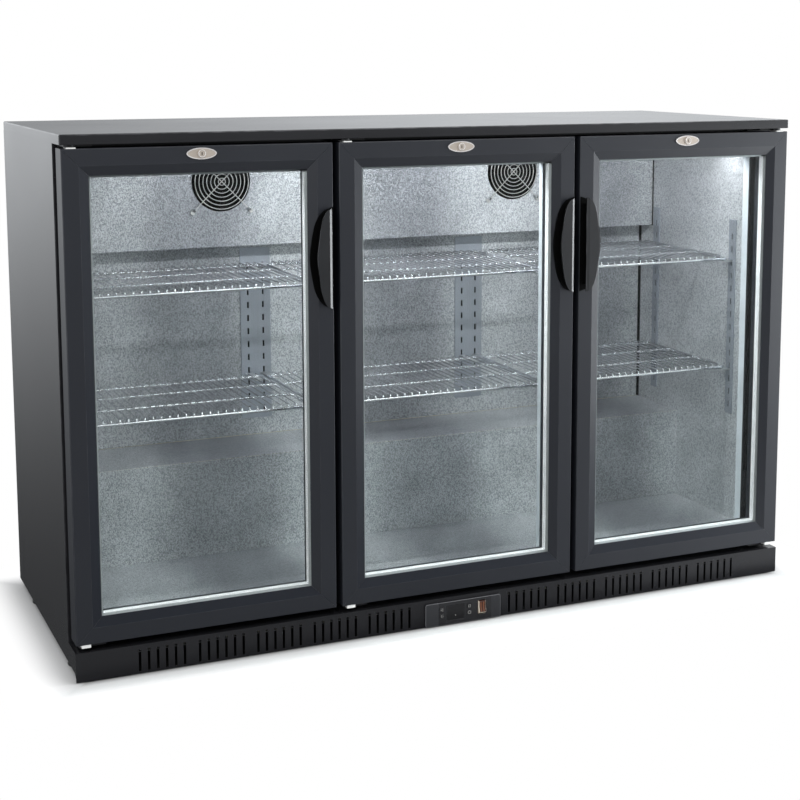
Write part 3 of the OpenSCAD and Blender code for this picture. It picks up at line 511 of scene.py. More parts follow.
@dataclass(frozen=True)
class LampFinish(Finish):
    """Milky diffuser over a row of light points.

    Attributes:
        pitch: Distance of the light points in metres.
        glow: Emission strength.
        between: Colour of the light between the points.
        point: Colour of the light at a point.
    """

    pitch: float = 0.016
    glow: float = 2.5
    between: Colour = (0.82, 0.90, 1.0)
    point: Colour = (0.95, 0.98, 1.0)

    def light_up(self, graph: Graph, shader: bpy.types.Node) -> None:
        """Let the light points show softly through the diffuser."""
        point = graph.band(graph.cell(graph.axes(graph.place())[0], self.pitch), 0.5, 0.3, 0.2)
        colour = graph.tint(point, rgba(self.between), rgba(self.point))
        graph.feed(shader.inputs["Emission Color"], colour)
        shader.inputs["Emission Strength"].default_value = self.glow


@dataclass(frozen=True)
class LensFinish(Finish):
    """Smoked lens with two lit bars, in a cream border at its left and foot.

    Attributes:
        middle: Centre of the lens along X and Z in metres.
        half: Half its width and height in metres.
        border: Width of the border in metres.
        foot: Height of the border's foot, as a multiple of its width.
        cream: Colour of the border.
        bars: Places of the bars from the centre, along X in metres.
        bar_half: Half the width and height of a bar in metres.
        dark: Colour that glows beside the bars.
        lit: Colour of the bars.
        glow: Emission strength of the bars.
    """

    middle: Pair = (0.041, 0.0245)
    half: Pair = (0.0073, 0.0125)
    border: float = 0.0016
    foot: float = 2.4
    cream: Colour = (0.60, 0.52, 0.42)
    bars: Pair = (-0.0022, 0.0028)
    bar_half: Pair = (0.0010, 0.0085)
    dark: Colour = (0.02, 0.006, 0.003)
    lit: Colour = (1.0, 0.42, 0.22)
    glow: float = 0.14

    def _offsets(self, graph: Graph, place: Socket) -> tuple[Socket, Socket]:
        """Return the distance from the middle across and up."""
        x, _, z = graph.axes(place)
        return graph.minus(x, self.middle[0]), graph.minus(z, self.middle[1])

    def detail(self, graph: Graph, place: Socket, skin: Skin) -> Skin:
        """Return the lens's values with the border drawn in."""
        across, up = self._offsets(graph, place)
        inside = self.border - self.half[0]
        above = self.foot * self.border - self.half[1]
        left = graph.ease(across, inside, inside + 0.4 * MM, 1.0, 0.0)
        foot = graph.ease(up, above, above + 0.4 * MM, 1.0, 0.0)
        right = graph.ease(across, self.half[0] - 0.5 * self.border, self.half[0] - 0.4 * self.border, 0.0, 0.5)
        edge = graph.most(graph.most(left, foot), right)
        return graph.tint(edge, skin[0], rgba(self.cream)), skin[1], skin[2]

    def light_up(self, graph: Graph, shader: bpy.types.Node) -> None:
        """Let two upright bars glow through the lens."""
        across, up = self._offsets(graph, graph.place())
        wide, tall = self.bar_half
        bars = graph.most(*(graph.band(across, bar, wide, 0.6 * MM) for bar in self.bars))
        bars = graph.times(bars, graph.band(up, 1.0 * MM, tall, 2.0 * MM))
        graph.feed(shader.inputs["Emission Color"], graph.tint(bars, rgba(self.dark), rgba(self.lit)))
        shader.inputs["Emission Strength"].default_value = self.glow


@dataclass(frozen=True)
class GlassFinish(Finish):
    """Clear pane with faint wiping marks, which lets lamp light through.

    Attributes:
        ior: Index of refraction, low because two panes mirror four times.
        shadow: Colour of the light that passes.
    """

    ior: float = 1.13
    shadow: Colour = (0.90, 0.94, 0.93)

    def light_up(self, graph: Graph, shader: bpy.types.Node) -> None:
        """Make the shader clear, and transparent to shadow rays."""
        shader.inputs["Transmission Weight"].default_value = 1.0
        shader.inputs["IOR"].default_value = self.ior
        clear = graph.add("BsdfTransparent", {"Color": rgba(self.shadow)}).outputs[0]
        passing = graph.add("LightPath").outputs["Is Shadow Ray"]
        surface = graph.tree.nodes["Material Output"].inputs["Surface"]
        graph.feed(surface, graph.mixed(passing, shader.outputs[0], clear))


ALONG_X = (5.0, 900.0, 900.0)
ALONG_Z = (900.0, 900.0, 5.0)
STUCCO_SHEET = (Effect.EMBOSS, (0.66, 0.67, 0.69), 0.34, 0.55, (320.0, 320.0, 240.0), 0.16, 0.40)

BLACK_STEEL = Finish("black powder coat", "black_steel", Effect.COAT, (0.014, 0.014, 0.016), 0.23, spread=0.08)
DOOR_BLACK = Finish("black door rail", "door_black", Effect.COAT, (0.0155, 0.0175, 0.0235), 0.40, spread=0.08)
# A copy of the rail finish with weaker reflection, put on bevels that face right or up to paint them darker.
DIMMED_BEVEL = replace(DOOR_BLACK, name="door bevel with dimmed reflection", specular=0.16)
GALVANISED = Finish(
    "galvanised sheet", "galvanised", Effect.DRAWN, (0.60, 0.61, 0.62), 0.42, 0.9, (70.0,) * 3, 0.2, 0.004
)
THROAT_GREY = Finish("grey throat trim", "throat_grey", Effect.GRAIN, (0.58, 0.61, 0.65), 0.42, relief=0.006)
FOAM = Finish("rigid foam", "foam", Effect.GRAIN, (0.82, 0.72, 0.44), 0.9, scale=(420.0,) * 3, relief=0.3)
STUCCO = Finish("stucco aluminium", "stucco_aluminium", *STUCCO_SHEET)
LINING = LiningFinish("stucco lining", "stucco_aluminium", *STUCCO_SHEET)
STANDARD = Finish(
    "plated standard", "stucco_aluminium", Effect.DRAWN, (0.36, 0.38, 0.42), 0.34, 0.6, ALONG_Z, 0.1, 0.004
)
SLOT_SHADE = Finish("slot shadow", "stucco_aluminium", Effect.GRAIN, (0.006, 0.006, 0.007), 0.7, specular=0.05)
FAN_BLACK = Finish(
    "black fan plastic", "fan_plastic", Effect.GRAIN, (0.004, 0.004, 0.004), 0.7, scale=(1200.0,) * 3,
    relief=0.01, specular=0.12,
)
CHROME = Finish(
    "bright chrome wire", "chrome_wire", Effect.DRAWN, (0.78, 0.79, 0.81), 0.16, 1.0, (60.0,) * 3, 0.08, 0.004
)
GUARD_WIRE = Finish(
    "plated guard wire", "chrome_wire", Effect.DRAWN, (0.50, 0.49, 0.48), 0.35, 0.4, (60.0,) * 3, 0.08, 0.004
)
LAMP_MILK = LampFinish("milky lamp diffuser", "lamp", Effect.GRAIN, (0.9, 0.92, 0.94), 0.5, relief=0.005)
LAMP_CHANNEL = Finish("lamp channel", "lamp", Effect.DRAWN, (0.72, 0.73, 0.75), 0.35, 0.9, ALONG_X, 0.1, 0.004)
BEZEL = PanelFinish(
    "panel moulding", "bezel", Effect.GRAIN, (0.031, 0.032, 0.036), 0.36, scale=(1500.0,) * 3, relief=0.008
)
DISPLAY = Finish(
    "display window", "display", Effect.GRAIN, (0.015, 0.015, 0.016), 0.12, spread=0.06, relief=0.001
)
ZINC = Finish("zinc plate", "zinc", Effect.DRAWN, (0.62, 0.63, 0.64), 0.34, 1.0, (350.0,) * 3, 0.16, 0.006)
HINGE_BLACK = Finish("blackened hinge", "zinc", Effect.COAT, (0.02, 0.02, 0.022), 0.42)
COMPRESSOR = Finish(
    "compressor enamel", "compressor_black", Effect.COAT, (0.010, 0.010, 0.011), 0.28, scale=(300.0,) * 3, relief=0.03
)
# The evaporator coil lies in shade behind its cover, so its fins are painted near-black as that shade.
SHADED_COIL = FinFinish(
    "coil fins in painted shade", "galvanised", Effect.DRAWN, (0.030, 0.031, 0.033), 0.6, 0.0, ALONG_Z, 0.1, 0.05, 0.1
)
FINS = FinFinish("aluminium fins", "galvanised", Effect.DRAWN, (0.62, 0.63, 0.65), 0.4, 0.9, ALONG_Z, 0.1, 0.05)
RUBBER = Finish(
    "black rubber", "feet_rubber", Effect.GRAIN, (0.012, 0.012, 0.012), 0.62, scale=(1300.0,) * 3, relief=0.02
)
GLASS = GlassFinish(
    "clear door glass", "glass", Effect.GRAIN, (0.97, 0.99, 0.985), 0.015, scale=(4.0,) * 3, spread=0.02,
    relief=0.002, specular=0.06,
)
SPACER = SpacerFinish(
    "bright spacer", "spacer", Effect.DRAWN, (0.93, 0.93, 0.94), 0.38, 0.15, (350.0,) * 3, 0.1, 0.004
)
GASKET = Finish(
    "black gasket", "gasket", Effect.GRAIN, (0.004, 0.004, 0.004), 0.6, scale=(1500.0,) * 3, relief=0.0, specular=0.03
)
HANDLE = Finish(
    "handle moulding", "handle", Effect.GRAIN, (0.018, 0.019, 0.021), 0.30, scale=(1700.0,) * 3, relief=0.004
)
GROOVE_SHADE = Finish("handle groove shade", "handle", Effect.GRAIN, (0.002, 0.002, 0.002), 0.7, relief=0.004, specular=0.04)
LOCK_FIELD = Finish(
    "warm satin nickel", "lock_metal", Effect.DRAWN, (0.57, 0.50, 0.43), 0.42, 0.3, ALONG_X, 0.12, 0.003
)
LOCK_BRIGHT = Finish(
    "bright nickel", "lock_metal", Effect.DRAWN, (0.82, 0.79, 0.77), 0.30, 0.3, ALONG_X, 0.1, 0.002
)
# Dark fill that paints the shade inside key slots and screw recesses.
RECESS_SHADE = Finish("keyway shadow", "lock_metal", Effect.GRAIN, (0.030, 0.024, 0.020), 0.6)
NYLON = Finish("white nylon", "nylon", Effect.GRAIN, (0.92, 0.92, 0.90), 0.42, scale=(1300.0,) * 3, relief=0.006)
ROCKER = LensFinish("rocker lens", "rocker", Effect.GRAIN, (0.045, 0.014, 0.008), 0.24, spread=0.06, relief=0.002)
KEY = Finish("key cap", "key", Effect.GRAIN, (0.010, 0.010, 0.011), 0.32, scale=(1700.0,) * 3, relief=0.003)
KEY_MARK = Finish("key mark", "key", Effect.GRAIN, (0.42, 0.42, 0.40), 0.45, relief=0.002)


def only(items: Iterable[Any], kind: type) -> list[Any]:
    """Return the mesh elements of one kind."""
    return [item for item in items if isinstance(item, kind)]


def edges_of(verts: Iterable[bmesh.types.BMVert]) -> list[bmesh.types.BMEdge]:
    """Return the edges that meet at some vertices, each once."""
    return list(dict.fromkeys(edge for vert in verts for edge in vert.link_edges))


class Shape:
    """A mesh under construction, with the operators that this object's pieces need.

    Lengths below TINY count as nought.
    """

    TINY = 1e-5
    UP = Vector((0, 0, 1))

    def __init__(self) -> None:
        """Start with an empty mesh."""
        self.bm = bmesh.new()

    @classmethod
    def copied(cls, node: str) -> "Shape":
        """Return a merged copy of a CAD node with its flat faces joined."""
        shape = cls()
        shape.bm.from_mesh(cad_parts[node].data)
        bmesh.ops.remove_doubles(shape.bm, verts=shape.bm.verts, dist=1e-6)
        flat = math.radians(0.3)
        bmesh.ops.dissolve_limit(shape.bm, angle_limit=flat, verts=shape.bm.verts, edges=shape.bm.edges)
        return shape

    def solids(self) -> list[Box]:
        """Return the box of each loose solid of the mesh, ordered by Z, X and Y."""
        left = set(self.bm.verts)
        boxes: list[Box] = []
        while left:
            stack = [left.pop()]
            low, high = stack[0].co.copy(), stack[0].co.copy()
            while stack:
                vert = stack.pop()
                low = Vector(map(min, low, vert.co))
                high = Vector(map(max, high, vert.co))
                near = [edge.other_vert(vert) for edge in vert.link_edges]
                fresh = [other for other in near if other in left]
                left.difference_update(fresh)
                stack.extend(fresh)
            boxes.append((low, high))
        return sorted(boxes, key=lambda box: (round(box[0].z, 4), round(box[0].x, 4), round(box[0].y, 4)))

    def block(self, low: Sequence[float], high: Sequence[float]) -> None:
        """Add a box between two corners."""
        low, high = Vector(low), Vector(high)
        bmesh.ops.create_cube(self.bm, size=1.0, matrix=Matrix.LocRotScale((low + high) / 2, None, high - low))

    def rod(self, start: Sequence[float], end: Sequence[float], radius: float, sides: int) -> None:
        """Add a capped round or many-sided rod."""
        start, end = Vector(start), Vector(end)
        run = end - start
        place = Matrix.LocRotScale((start + end) / 2, self.UP.rotation_difference(run), None)
        bmesh.ops.create_cone(
            self.bm, cap_ends=True, segments=sides, radius1=radius, radius2=radius, depth=run.length, matrix=place
        )

    def _spin(self, geom: list[Any], centre: Vector, axis: Vector, steps: int) -> None:
        """Turn an outline once about an axis and merge what meets."""
        bmesh.ops.spin(self.bm, geom=geom, cent=centre, axis=axis, angle=math.tau, steps=steps, use_merge=True)
        self.close()

    def lathe(self, profile: Sequence[Pair], foot: Sequence[float], axis: Sequence[float], steps: int) -> None:
        """Turn a profile about an axis.

        Args:
            profile: Pairs of radius and height in metres, from the foot upwards.
            foot: Point on the axis where the height is nought.
            axis: Unit direction of the axis.
            steps: Number of faces around.
        """
        foot, axis = Vector(foot), Vector(axis)
        out = axis.orthogonal().normalized()
        verts = [self.bm.verts.new(foot + out * radius + axis * height) for radius, height in profile]
        edges = [self.bm.edges.new(pair) for pair in zip(verts, verts[1:])]
        self._spin(verts + edges, foot, axis, steps)

    def ring(self, centre: Sequence[float], axis: Sequence[float], radius: float, wire: float, steps: int) -> None:
        """Add a ring of round wire about an axis."""
        centre, axis = Vector(centre), Vector(axis)
        out = axis.orthogonal().normalized()
        along = axis.cross(out)
        place = Matrix.LocRotScale(centre + out * radius, self.UP.rotation_difference(along), None)
        verts = bmesh.ops.create_circle(self.bm, segments=8, radius=wire, matrix=place)["verts"]
        self._spin(verts + edges_of(verts), centre, axis, steps)

    def wire(
        self, path: Sequence[Vector], radius: float, sides: int, closed: bool = False
    ) -> list[bmesh.types.BMVert]:
        """Sweep a round wire along a path.

        Args:
            path: Points of the wire's middle line.
            radius: Radius of the wire.
            sides: Number of its faces around.
            closed: Whether the last point joins the first.

        Returns:
            The vertices of the wire.
        """
        runs = [path[(i + 1) % len(path)] - path[i] for i in range(len(path))]
        if not closed:
            runs[-1] = runs[-2]
        heads = [(runs[i] + (runs[i - 1] if closed or i else runs[i])).normalized() for i in range(len(path))]
        place = Matrix.LocRotScale(path[0], self.UP.rotation_difference(heads[0]), None)
        made = bmesh.ops.create_circle(self.bm, segments=sides, radius=radius, matrix=place)["verts"]
        loop = edges_of(made)
        first, verts = list(loop), list(made)
        for i in range(1, len(path)):
            grown = bmesh.ops.extrude_edge_only(self.bm, edges=loop)["geom"]
            ends = only(grown, bmesh.types.BMVert)
            loop = [edge for edge in only(grown, bmesh.types.BMEdge) if all(vert in ends for vert in edge.verts)]
            turn = heads[i - 1].rotation_difference(heads[i]).to_matrix().to_4x4()
            move = Matrix.Translation(path[i]) @ turn @ Matrix.Translation(-path[i - 1])
            bmesh.ops.transform(self.bm, matrix=move, verts=ends)
            verts += ends
        if closed:
            bmesh.ops.bridge_loops(self.bm, edges=first + loop)
        else:
            bmesh.ops.edgeloop_fill(self.bm, edges=first)
            bmesh.ops.edgeloop_fill(self.bm, edges=loop)
        return verts

    def outline(
        self, sides: int, outer: float, inner: float, centre: Sequence[float], turn: float, height: float
    ) -> None:
        """Add a flat outline with straight sides that faces the front.

        Args:
            sides: Number of sides, from a triangle to a ring.
            outer: Radius of the outer corners.
            inner: Radius of the inner corners.
            centre: Middle of the outline on the face it lies on.
            turn: Turn of the outline in degrees.
            height: How far it stands proud of the face.
        """
        face = Matrix.Rotation(math.radians(90), 4, "X") @ Matrix.Rotation(math.radians(turn), 4, "Z")
        place = Matrix.Translation(Vector(centre)) @ face
        edges = []
        for radius in (outer, inner):
            edges += edges_of(bmesh.ops.create_circle(self.bm, segments=sides, radius=radius, matrix=place)["verts"])
        faces = bmesh.ops.bridge_loops(self.bm, edges=edges)["faces"]
        grown = bmesh.ops.extrude_face_region(self.bm, geom=faces)["geom"]
        bmesh.ops.translate(self.bm, vec=(0, -height, 0), verts=only(grown, bmesh.types.BMVert))
        self.close()

    def round_off(
        self, width: float, segments: int = 2, pick: Callable[[bmesh.types.BMEdge], bool] | None = None,
        angle: float = 30.0, clamp: bool = True,
    ) -> None:
        """Bevel the sharp edges and mark the new faces for wear and for the bezel's painted rim highlight.

        Args:
            width: Width of the bevel in metres.
            segments: Faces across it.
            pick: Test that an edge has to pass.
            angle: Smallest angle of a sharp edge in degrees.
            clamp: Whether the bevel stays narrower where edges lie close together.
        """
        least = math.radians(angle)
        sharp = [edge for edge in self.bm.edges if edge.is_manifold and edge.calc_face_angle(0.0) > least]
        made = bmesh.ops.bevel(
            self.bm, geom=[edge for edge in sharp if pick is None or pick(edge)], offset=width, offset_type="OFFSET",
            affect="EDGES", segments=segments, profile=0.5, material=-1, clamp_overlap=clamp,
        )
        layer = self.bm.loops.layers.float.get("edge") or self.bm.loops.layers.float.new("edge")
        for face in made["faces"]:
            for loop in face.loops:
                loop[layer] = 1.0
        bmesh.ops.dissolve_degenerate(self.bm, dist=1e-6, edges=self.bm.edges)

    def close(self) -> None:
        """Merge doubled points and turn the faces outwards."""
        bmesh.ops.remove_doubles(self.bm, verts=self.bm.verts, dist=1e-7)
        bmesh.ops.recalc_face_normals(self.bm, faces=self.bm.faces)

    def settle(self) -> None:
        """Put edges and faces in an order that is the same each run, which extruding alone doesn't give."""
        self.bm.verts.index_update()
        count = len(self.bm.verts)

        def rank(item: bmesh.types.BMEdge | bmesh.types.BMFace) -> int:
            """Return a number made of the lowest three vertices of an edge or face."""
            number = 0
            for index in sorted(vert.index for vert in item.verts)[:3]:
                number = number * count + index
            return number

        self.bm.edges.sort(key=rank)
        self.bm.faces.sort(key=rank)

    def piece(
        self, name: str, finish: Finish, body: str, stands_for: Iterable[str] = (), smooth: float = 40.0
    ) -> bpy.types.Object:
        """Make the finished piece.

        Args:
            name: Name of the piece.
            finish: Its finish.
            body: CAD body that it rides on.
            stands_for: CAD nodes that it is shown in place of.
            smooth: Largest angle in degrees that is shaded smooth.

        Returns:
            The new object.
        """
        mesh = bpy.data.meshes.new(name)
        self.settle()
        self.bm.to_mesh(mesh)
        self.bm.free()
        mesh.materials.append(finish.material())
        mesh.shade_smooth()
        mesh.set_sharp_from_angle(angle=math.radians(smooth))
        made = bpy.data.objects.new(name, mesh)
        bpy.context.scene.collection.objects.link(made)
        level = made.modifiers.new("level shading", "WEIGHTED_NORMAL")
        level.keep_sharp = True
        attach(made, body)
        for node in stands_for:
            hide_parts(node)
        LOG.info("%s: %d faces, %s, on %s", name, len(mesh.polygons), finish.name, body)
        return made


def dress(node: str, finish: Finish) -> None:
    """Give a CAD node its finish.

    Args:
        node: Name of the node.
        finish: Its finish.
    """
    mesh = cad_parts[node].data
    mesh.materials.clear()
    mesh.materials.append(finish.material())
    LOG.info("%s: %s", node, finish.name)


def soften(
    node: str, finish: Finish, width: float, body: str = "cabinet", angle: float = 30.0
) -> bpy.types.Object:
    """Show a CAD node with its sharp edges rounded.

    Args:
        node: Name of the node.
        finish: Its finish.
        width: Width of the rounding in metres.
        body: CAD body that it rides on.
        angle: Smallest angle in degrees of an edge that is rounded.

    Returns:
        The rounded piece.
    """
    shape = Shape.copied(node)
    shape.round_off(width, angle=angle)
    return shape.piece(f"{node}_edged", finish, body, [node])


def add_finish(
    piece: bpy.types.Object, finish: Finish, test: Callable[[bpy.types.MeshPolygon], bool]
) -> None:
    """Give the faces of a piece that pass a test a second finish.

    Args:
        piece: The piece.
        finish: The second finish.
        test: Test of one face.
    """
    piece.data.materials.append(finish.material())
    for face in piece.data.polygons:
        face.material_index = int(test(face))


@dataclass
class Cabinet:
    """Outer sheets, frame, hinges, screws and feet.

    Attributes:
        bend: Outside radius of a bent sheet edge.
        burr: Rounding of a cut sheet edge.
        rear: Depth from which a screw faces the rear.
        head: Radius and height of a screw head's outline, as shares of the head.
        recess: Length and width of a screw's cross recess.
        recess_lift: How far a recess stands before its head, so that it shows.
        pad: Radius and height of a foot's pad, as shares of the pad.
        pad_share: Height of the pad as a share of the foot.
        stem: Radius of a foot's stem.
        nut: Radius and height of a foot's nut.
    """

    bend: float = 2.2 * MM
    burr: float = 0.4 * MM
    rear: float = 200.0 * MM
    head: tuple[Pair, ...] = ((0, 0), (1, 0), (1, 0.45), (0.8, 0.8), (0.45, 0.95), (0, 1))
    recess: Pair = (4.6 * MM, 1.0 * MM)
    recess_lift: float = 0.05 * MM
    pad: tuple[Pair, ...] = ((0, 0), (0.80, 0), (0.95, 0.15), (1, 0.40), (0.97, 0.7), (0.84, 0.93), (0.6, 1))
    pad_share: float = 0.55
    stem: float = 5.0 * MM
    nut: Pair = (8.0 * MM, 4.0 * MM)

    def build(self) -> None:
        """Build the shells and feet, and dress the rest."""
        self.build_worktop()
        sheets = {
            "side_panel_left": BLACK_STEEL,
            "side_panel_right": BLACK_STEEL,
            "front_frame": BLACK_STEEL,
            "back_panel": GALVANISED,
            "rear_grille": BLACK_STEEL,
            "base_pan": GALVANISED,
            "hinge_brackets": HINGE_BLACK,
            "cord_gland": RUBBER,
        }
        for node, finish in sheets.items():
            soften(node, finish, self.burr)
        dress("insulation", FOAM)
        self.build_screws()
        self.build_feet()

    def build_worktop(self) -> None:
        """Build the worktop with bent outer edges."""
        low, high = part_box("worktop")
        shape = Shape.copied("worktop")

        def outer(edge: bmesh.types.BMEdge) -> bool:
            """Tell whether both ends lie on the outside of two sides."""
            sides = [
                all(abs(vert.co[axis] - end[axis]) < Shape.TINY for vert in edge.verts)
                for axis, end in ((0, low), (0, high), (1, low), (1, high), (2, high))
            ]
            return sum(sides) == 2

        shape.round_off(self.bend, 3, outer)
        shape.piece("worktop_bent", BLACK_STEEL, "cabinet", ["worktop"])

    def build_screws(self) -> None:
        """Build screw heads with a domed edge, and dark crosses that paint the shade in their cross recesses."""
        heads, crosses = Shape(), Shape()
        long, wide = self.recess
        for low, high in Shape.copied("screws").solids():
            middle = (low + high) / 2
            face, inward = (high.y, -1.0) if middle.y > self.rear else (low.y, 1.0)
            radius, deep = (high.x - low.x) / 2, high.y - low.y
            profile = [(radius * across, deep * up) for across, up in self.head]
            heads.lathe(profile, (middle.x, face + inward * deep, middle.z), (0, -inward, 0), 16)
            near, far = sorted((face - inward * self.recess_lift, face + inward * deep * 0.5))
            for a, b in ((long / 2, wide / 2), (wide / 2, long / 2)):
                crosses.block((middle.x - a, near, middle.z - b), (middle.x + a, far, middle.z + b))
        heads.piece("screw_heads", ZINC, "cabinet", ["screws"])
        crosses.piece("screw_recess_shade", RECESS_SHADE, "cabinet")

    def build_feet(self) -> None:
        """Build turned feet with a rounded pad, a nut and a stem."""
        shape = Shape()
        radius, tall = self.nut
        for low, high in Shape.copied("levelling_feet").solids():
            middle = (low + high) / 2
            pad = (high.x - low.x) / 2
            top = high.z - low.z
            rim = top * self.pad_share
            profile = [(pad * across, rim * up) for across, up in self.pad]
            profile += [(self.stem, rim * 1.02), (self.stem, top), (0, top)]
            shape.lathe(profile, (middle.x, middle.y, low.z), (0, 0, 1), 36)
            seat = Vector((middle.x, middle.y, low.z + rim * 1.1))
            shape.rod(seat, seat + Vector((0, 0, tall)), radius, 6)
        shape.piece("levelling_feet_turned", RUBBER, "cabinet", ["levelling_feet"])


@dataclass
class Cabin:
    """Lined inside: cover, fans, guards, standards, shelves and lamp.

    Attributes:
        fold: Rounding of a folded lining sheet.
        rail: Radius of the shelf's frame wire.
        corner: Radius of the shelf's corners.
        deck: Radius of the shelf's deck wire.
        pitch: Distance of the deck wires.
        bend: Radius of the bends of a deck wire.
        bars: Places of the cross bars, as shares of the shelf's depth.
        bar_end: Length of the sloped end of a cross bar.
        guard: Radius of the guard's wire.
        rings: Number of rings of a guard.
        reach: Outer radius of the largest ring.
        ear: Distance of a guard's fixing from its middle, across and up.
        eye: Radius of the eye at a fixing.
        post: Radius of the post behind an eye.
        shade_plate: Thickness of the dark backs of the standards' slots.
        slot_inset: Distance of those backs from the standard's sides and ends.
        standard_edge: Rounding of a standard.
        cap: Length of the lamp's end caps, and height of its channel.
        milk_inset: Distance of the diffuser from the channel's sides.
    """

    fold: float = 0.5 * MM
    rail: float = 2.5 * MM
    corner: float = 9.0 * MM
    deck: float = 1.25 * MM
    pitch: float = 14.0 * MM
    bend: float = 3.0 * MM
    bars: Pair = (0.33, 0.67)
    bar_end: float = 8.0 * MM
    guard: float = 0.8 * MM
    rings: int = 7
    reach: float = 52.0 * MM
    ear: float = 56.0 * MM
    eye: float = 3.6 * MM
    post: float = 3.2 * MM
    # shade_plate: Thickness of the dark plates that paint the shade behind the standards' slots.
    shade_plate: float = 0.8 * MM
    # slot_inset: Distance of those plates from the standard's sides and ends.
    slot_inset: Pair = (2.0 * MM, 3.0 * MM)
    standard_edge: float = 0.3 * MM
    cap: float = 6.0 * MM
    milk_inset: float = 1.5 * MM

    def build(self) -> None:
        """Build the wire work and lamp, and dress the rest."""
        soften("inner_liner", LINING, self.fold)
        for node in ("machine_housing", "evaporator_cover"):
            soften(node, STUCCO, self.fold)
        dress("throat_trim", THROAT_GREY)
        dress("evaporator_coil", SHADED_COIL)
        for node in ("fan_frames", "fan_rotor_left", "fan_rotor_right"):
            dress(node, FAN_BLACK)
        self.build_standards()
        dress("shelf_clips", ZINC)
        self.build_shelves()
        self.build_guards()
        self.build_lamp()

    def build_standards(self) -> None:
        """Build the slotted standards and the dark plates that paint the shade behind their slots."""
        shape = Shape()
        side, end = self.slot_inset
        # Painted shade: a thin dark plate behind each standard's slots stands for the shadow inside it.
        for low, high in Shape.copied("shelf_standards").solids():
            foot, top = low.z + end, high.z - end
            if high.x - low.x < high.y - low.y:
                x0, x1 = (low.x, low.x + self.shade_plate) if low.x < 0 else (high.x - self.shade_plate, high.x)
                shape.block((x0, low.y + side, foot), (x1, high.y - side, top))
            elif low.y > 0:
                shape.block((low.x + side, high.y - self.shade_plate, foot), (high.x - side, high.y, top))
        shape.piece("standard_slot_shade", SLOT_SHADE, "cabinet")
        soften("shelf_standards", STANDARD, self.standard_edge)

    def build_shelves(self) -> None:
        """Build six shelves of round wire."""
        bays = ("left", "middle", "right")
        names = [f"shelf_{level}_{bay}" for level in ("lower", "upper") for bay in bays]
        for name, (low, high) in zip(names, Shape.copied("wire_shelves").solids()):
            self.build_shelf(name, low, high)

    def build_shelf(self, name: str, low: Vector, high: Vector) -> None:
        """Build one shelf inside its box.

        Args:
            name: Name of the piece.
            low: Lowest corner of the shelf.
            high: Highest corner of the shelf.
        """
        shape = Shape()
        level, deck = low.z + self.rail, high.z - self.deck
        x0, x1, y0, y1 = low.x + self.rail, high.x - self.rail, low.y + self.rail, high.y - self.rail
        turn = self.corner
        left, right, front, rear = x0 + turn, x1 - turn, y0 + turn, y1 - turn
        path = []
        for x, y, start in ((right, front, -90), (right, rear, 0), (left, rear, 90), (left, front, 180)):
            for step in range(4):
                angle = math.radians(start + 30 * step)
                path.append(Vector((x + turn * math.cos(angle), y + turn * math.sin(angle), level)))
        shape.wire(path, self.rail, 10, True)
        bar = deck - self.deck - self.rail
        for share in self.bars:
            y = y0 + (y1 - y0) * share
            spots = ((x0, level), (x0 + self.bar_end, bar), (x1 - self.bar_end, bar), (x1, level))
            shape.wire([Vector((x, y, z)) for x, z in spots], self.rail * 0.9, 8)
        self.lay_deck(shape, (x0, x1, y0, y1), level + self.rail * 0.7, deck)
        shape.close()
        shape.piece(name, CHROME, "cabinet", ["wire_shelves"], 60.0)

    def lay_deck(self, shape: Shape, within: tuple[float, float, float, float], foot: float, deck: float) -> None:
        """Lay the deck wires of a shelf, bent down at both ends.

        Args:
            shape: The shelf.
            within: Left, right, front and rear of the shelf's frame.
            foot: Height of the wires' ends.
            deck: Height of the deck.
        """
        x0, x1, y0, y1 = within
        count = int((x1 - x0 - 2 * self.corner) / self.pitch)
        first = (x0 + x1) / 2 - count * self.pitch / 2
        cut = self.bend * 0.3
        fronts = [(0.0, foot), (0.0, deck - self.bend), (cut, deck - cut), (self.bend, deck)]
        path = [Vector((first, y0 + inward, z)) for inward, z in fronts]
        path += [Vector((first, y1 - inward, z)) for inward, z in reversed(fronts)]
        strand = shape.wire(path, self.deck, 6)
        faces = list(dict.fromkeys(face for vert in strand for face in vert.link_faces))
        for k in range(1, count + 1):
            copied = bmesh.ops.duplicate(shape.bm, geom=strand + faces)["geom"]
            bmesh.ops.translate(shape.bm, vec=(k * self.pitch, 0, 0), verts=only(copied, bmesh.types.BMVert))

    def build_guards(self) -> None:
        """Build both fan guards of round wire."""
        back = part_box("evaporator_cover")[0].y
        along = (0, 1, 0)
        for name, (low, high) in zip(("left", "right"), Shape.copied("fan_guards").solids()):
            middle = (low + high) / 2
            shape = Shape()
            front = low.y + self.guard
            step = self.reach / self.rings
            for k in range(1, self.rings + 1):
                radius = k * step - self.guard
                shape.ring((middle.x, front, middle.z), along, radius, self.guard, 16 + 4 * k)
            spoke = front + 1.6 * self.guard
            for a in (-1, 1):
                ends = [Vector((middle.x + b * a * self.ear, spoke, middle.z + b * self.ear)) for b in (-1, 1)]
                shape.wire(ends, self.guard * 1.2, 8)
            for a in (-1, 1):
                for b in (-1, 1):
                    x, z = middle.x + a * self.ear, middle.z + b * self.ear
                    shape.ring((x, spoke, z), along, self.eye, self.guard * 1.1, 20)
                    shape.rod((x, spoke, z), (x, back, z), self.post, 16)
            shape.close()
            shape.piece(f"fan_guard_{name}", GUARD_WIRE, "cabinet", ["fan_guards"], 60.0)

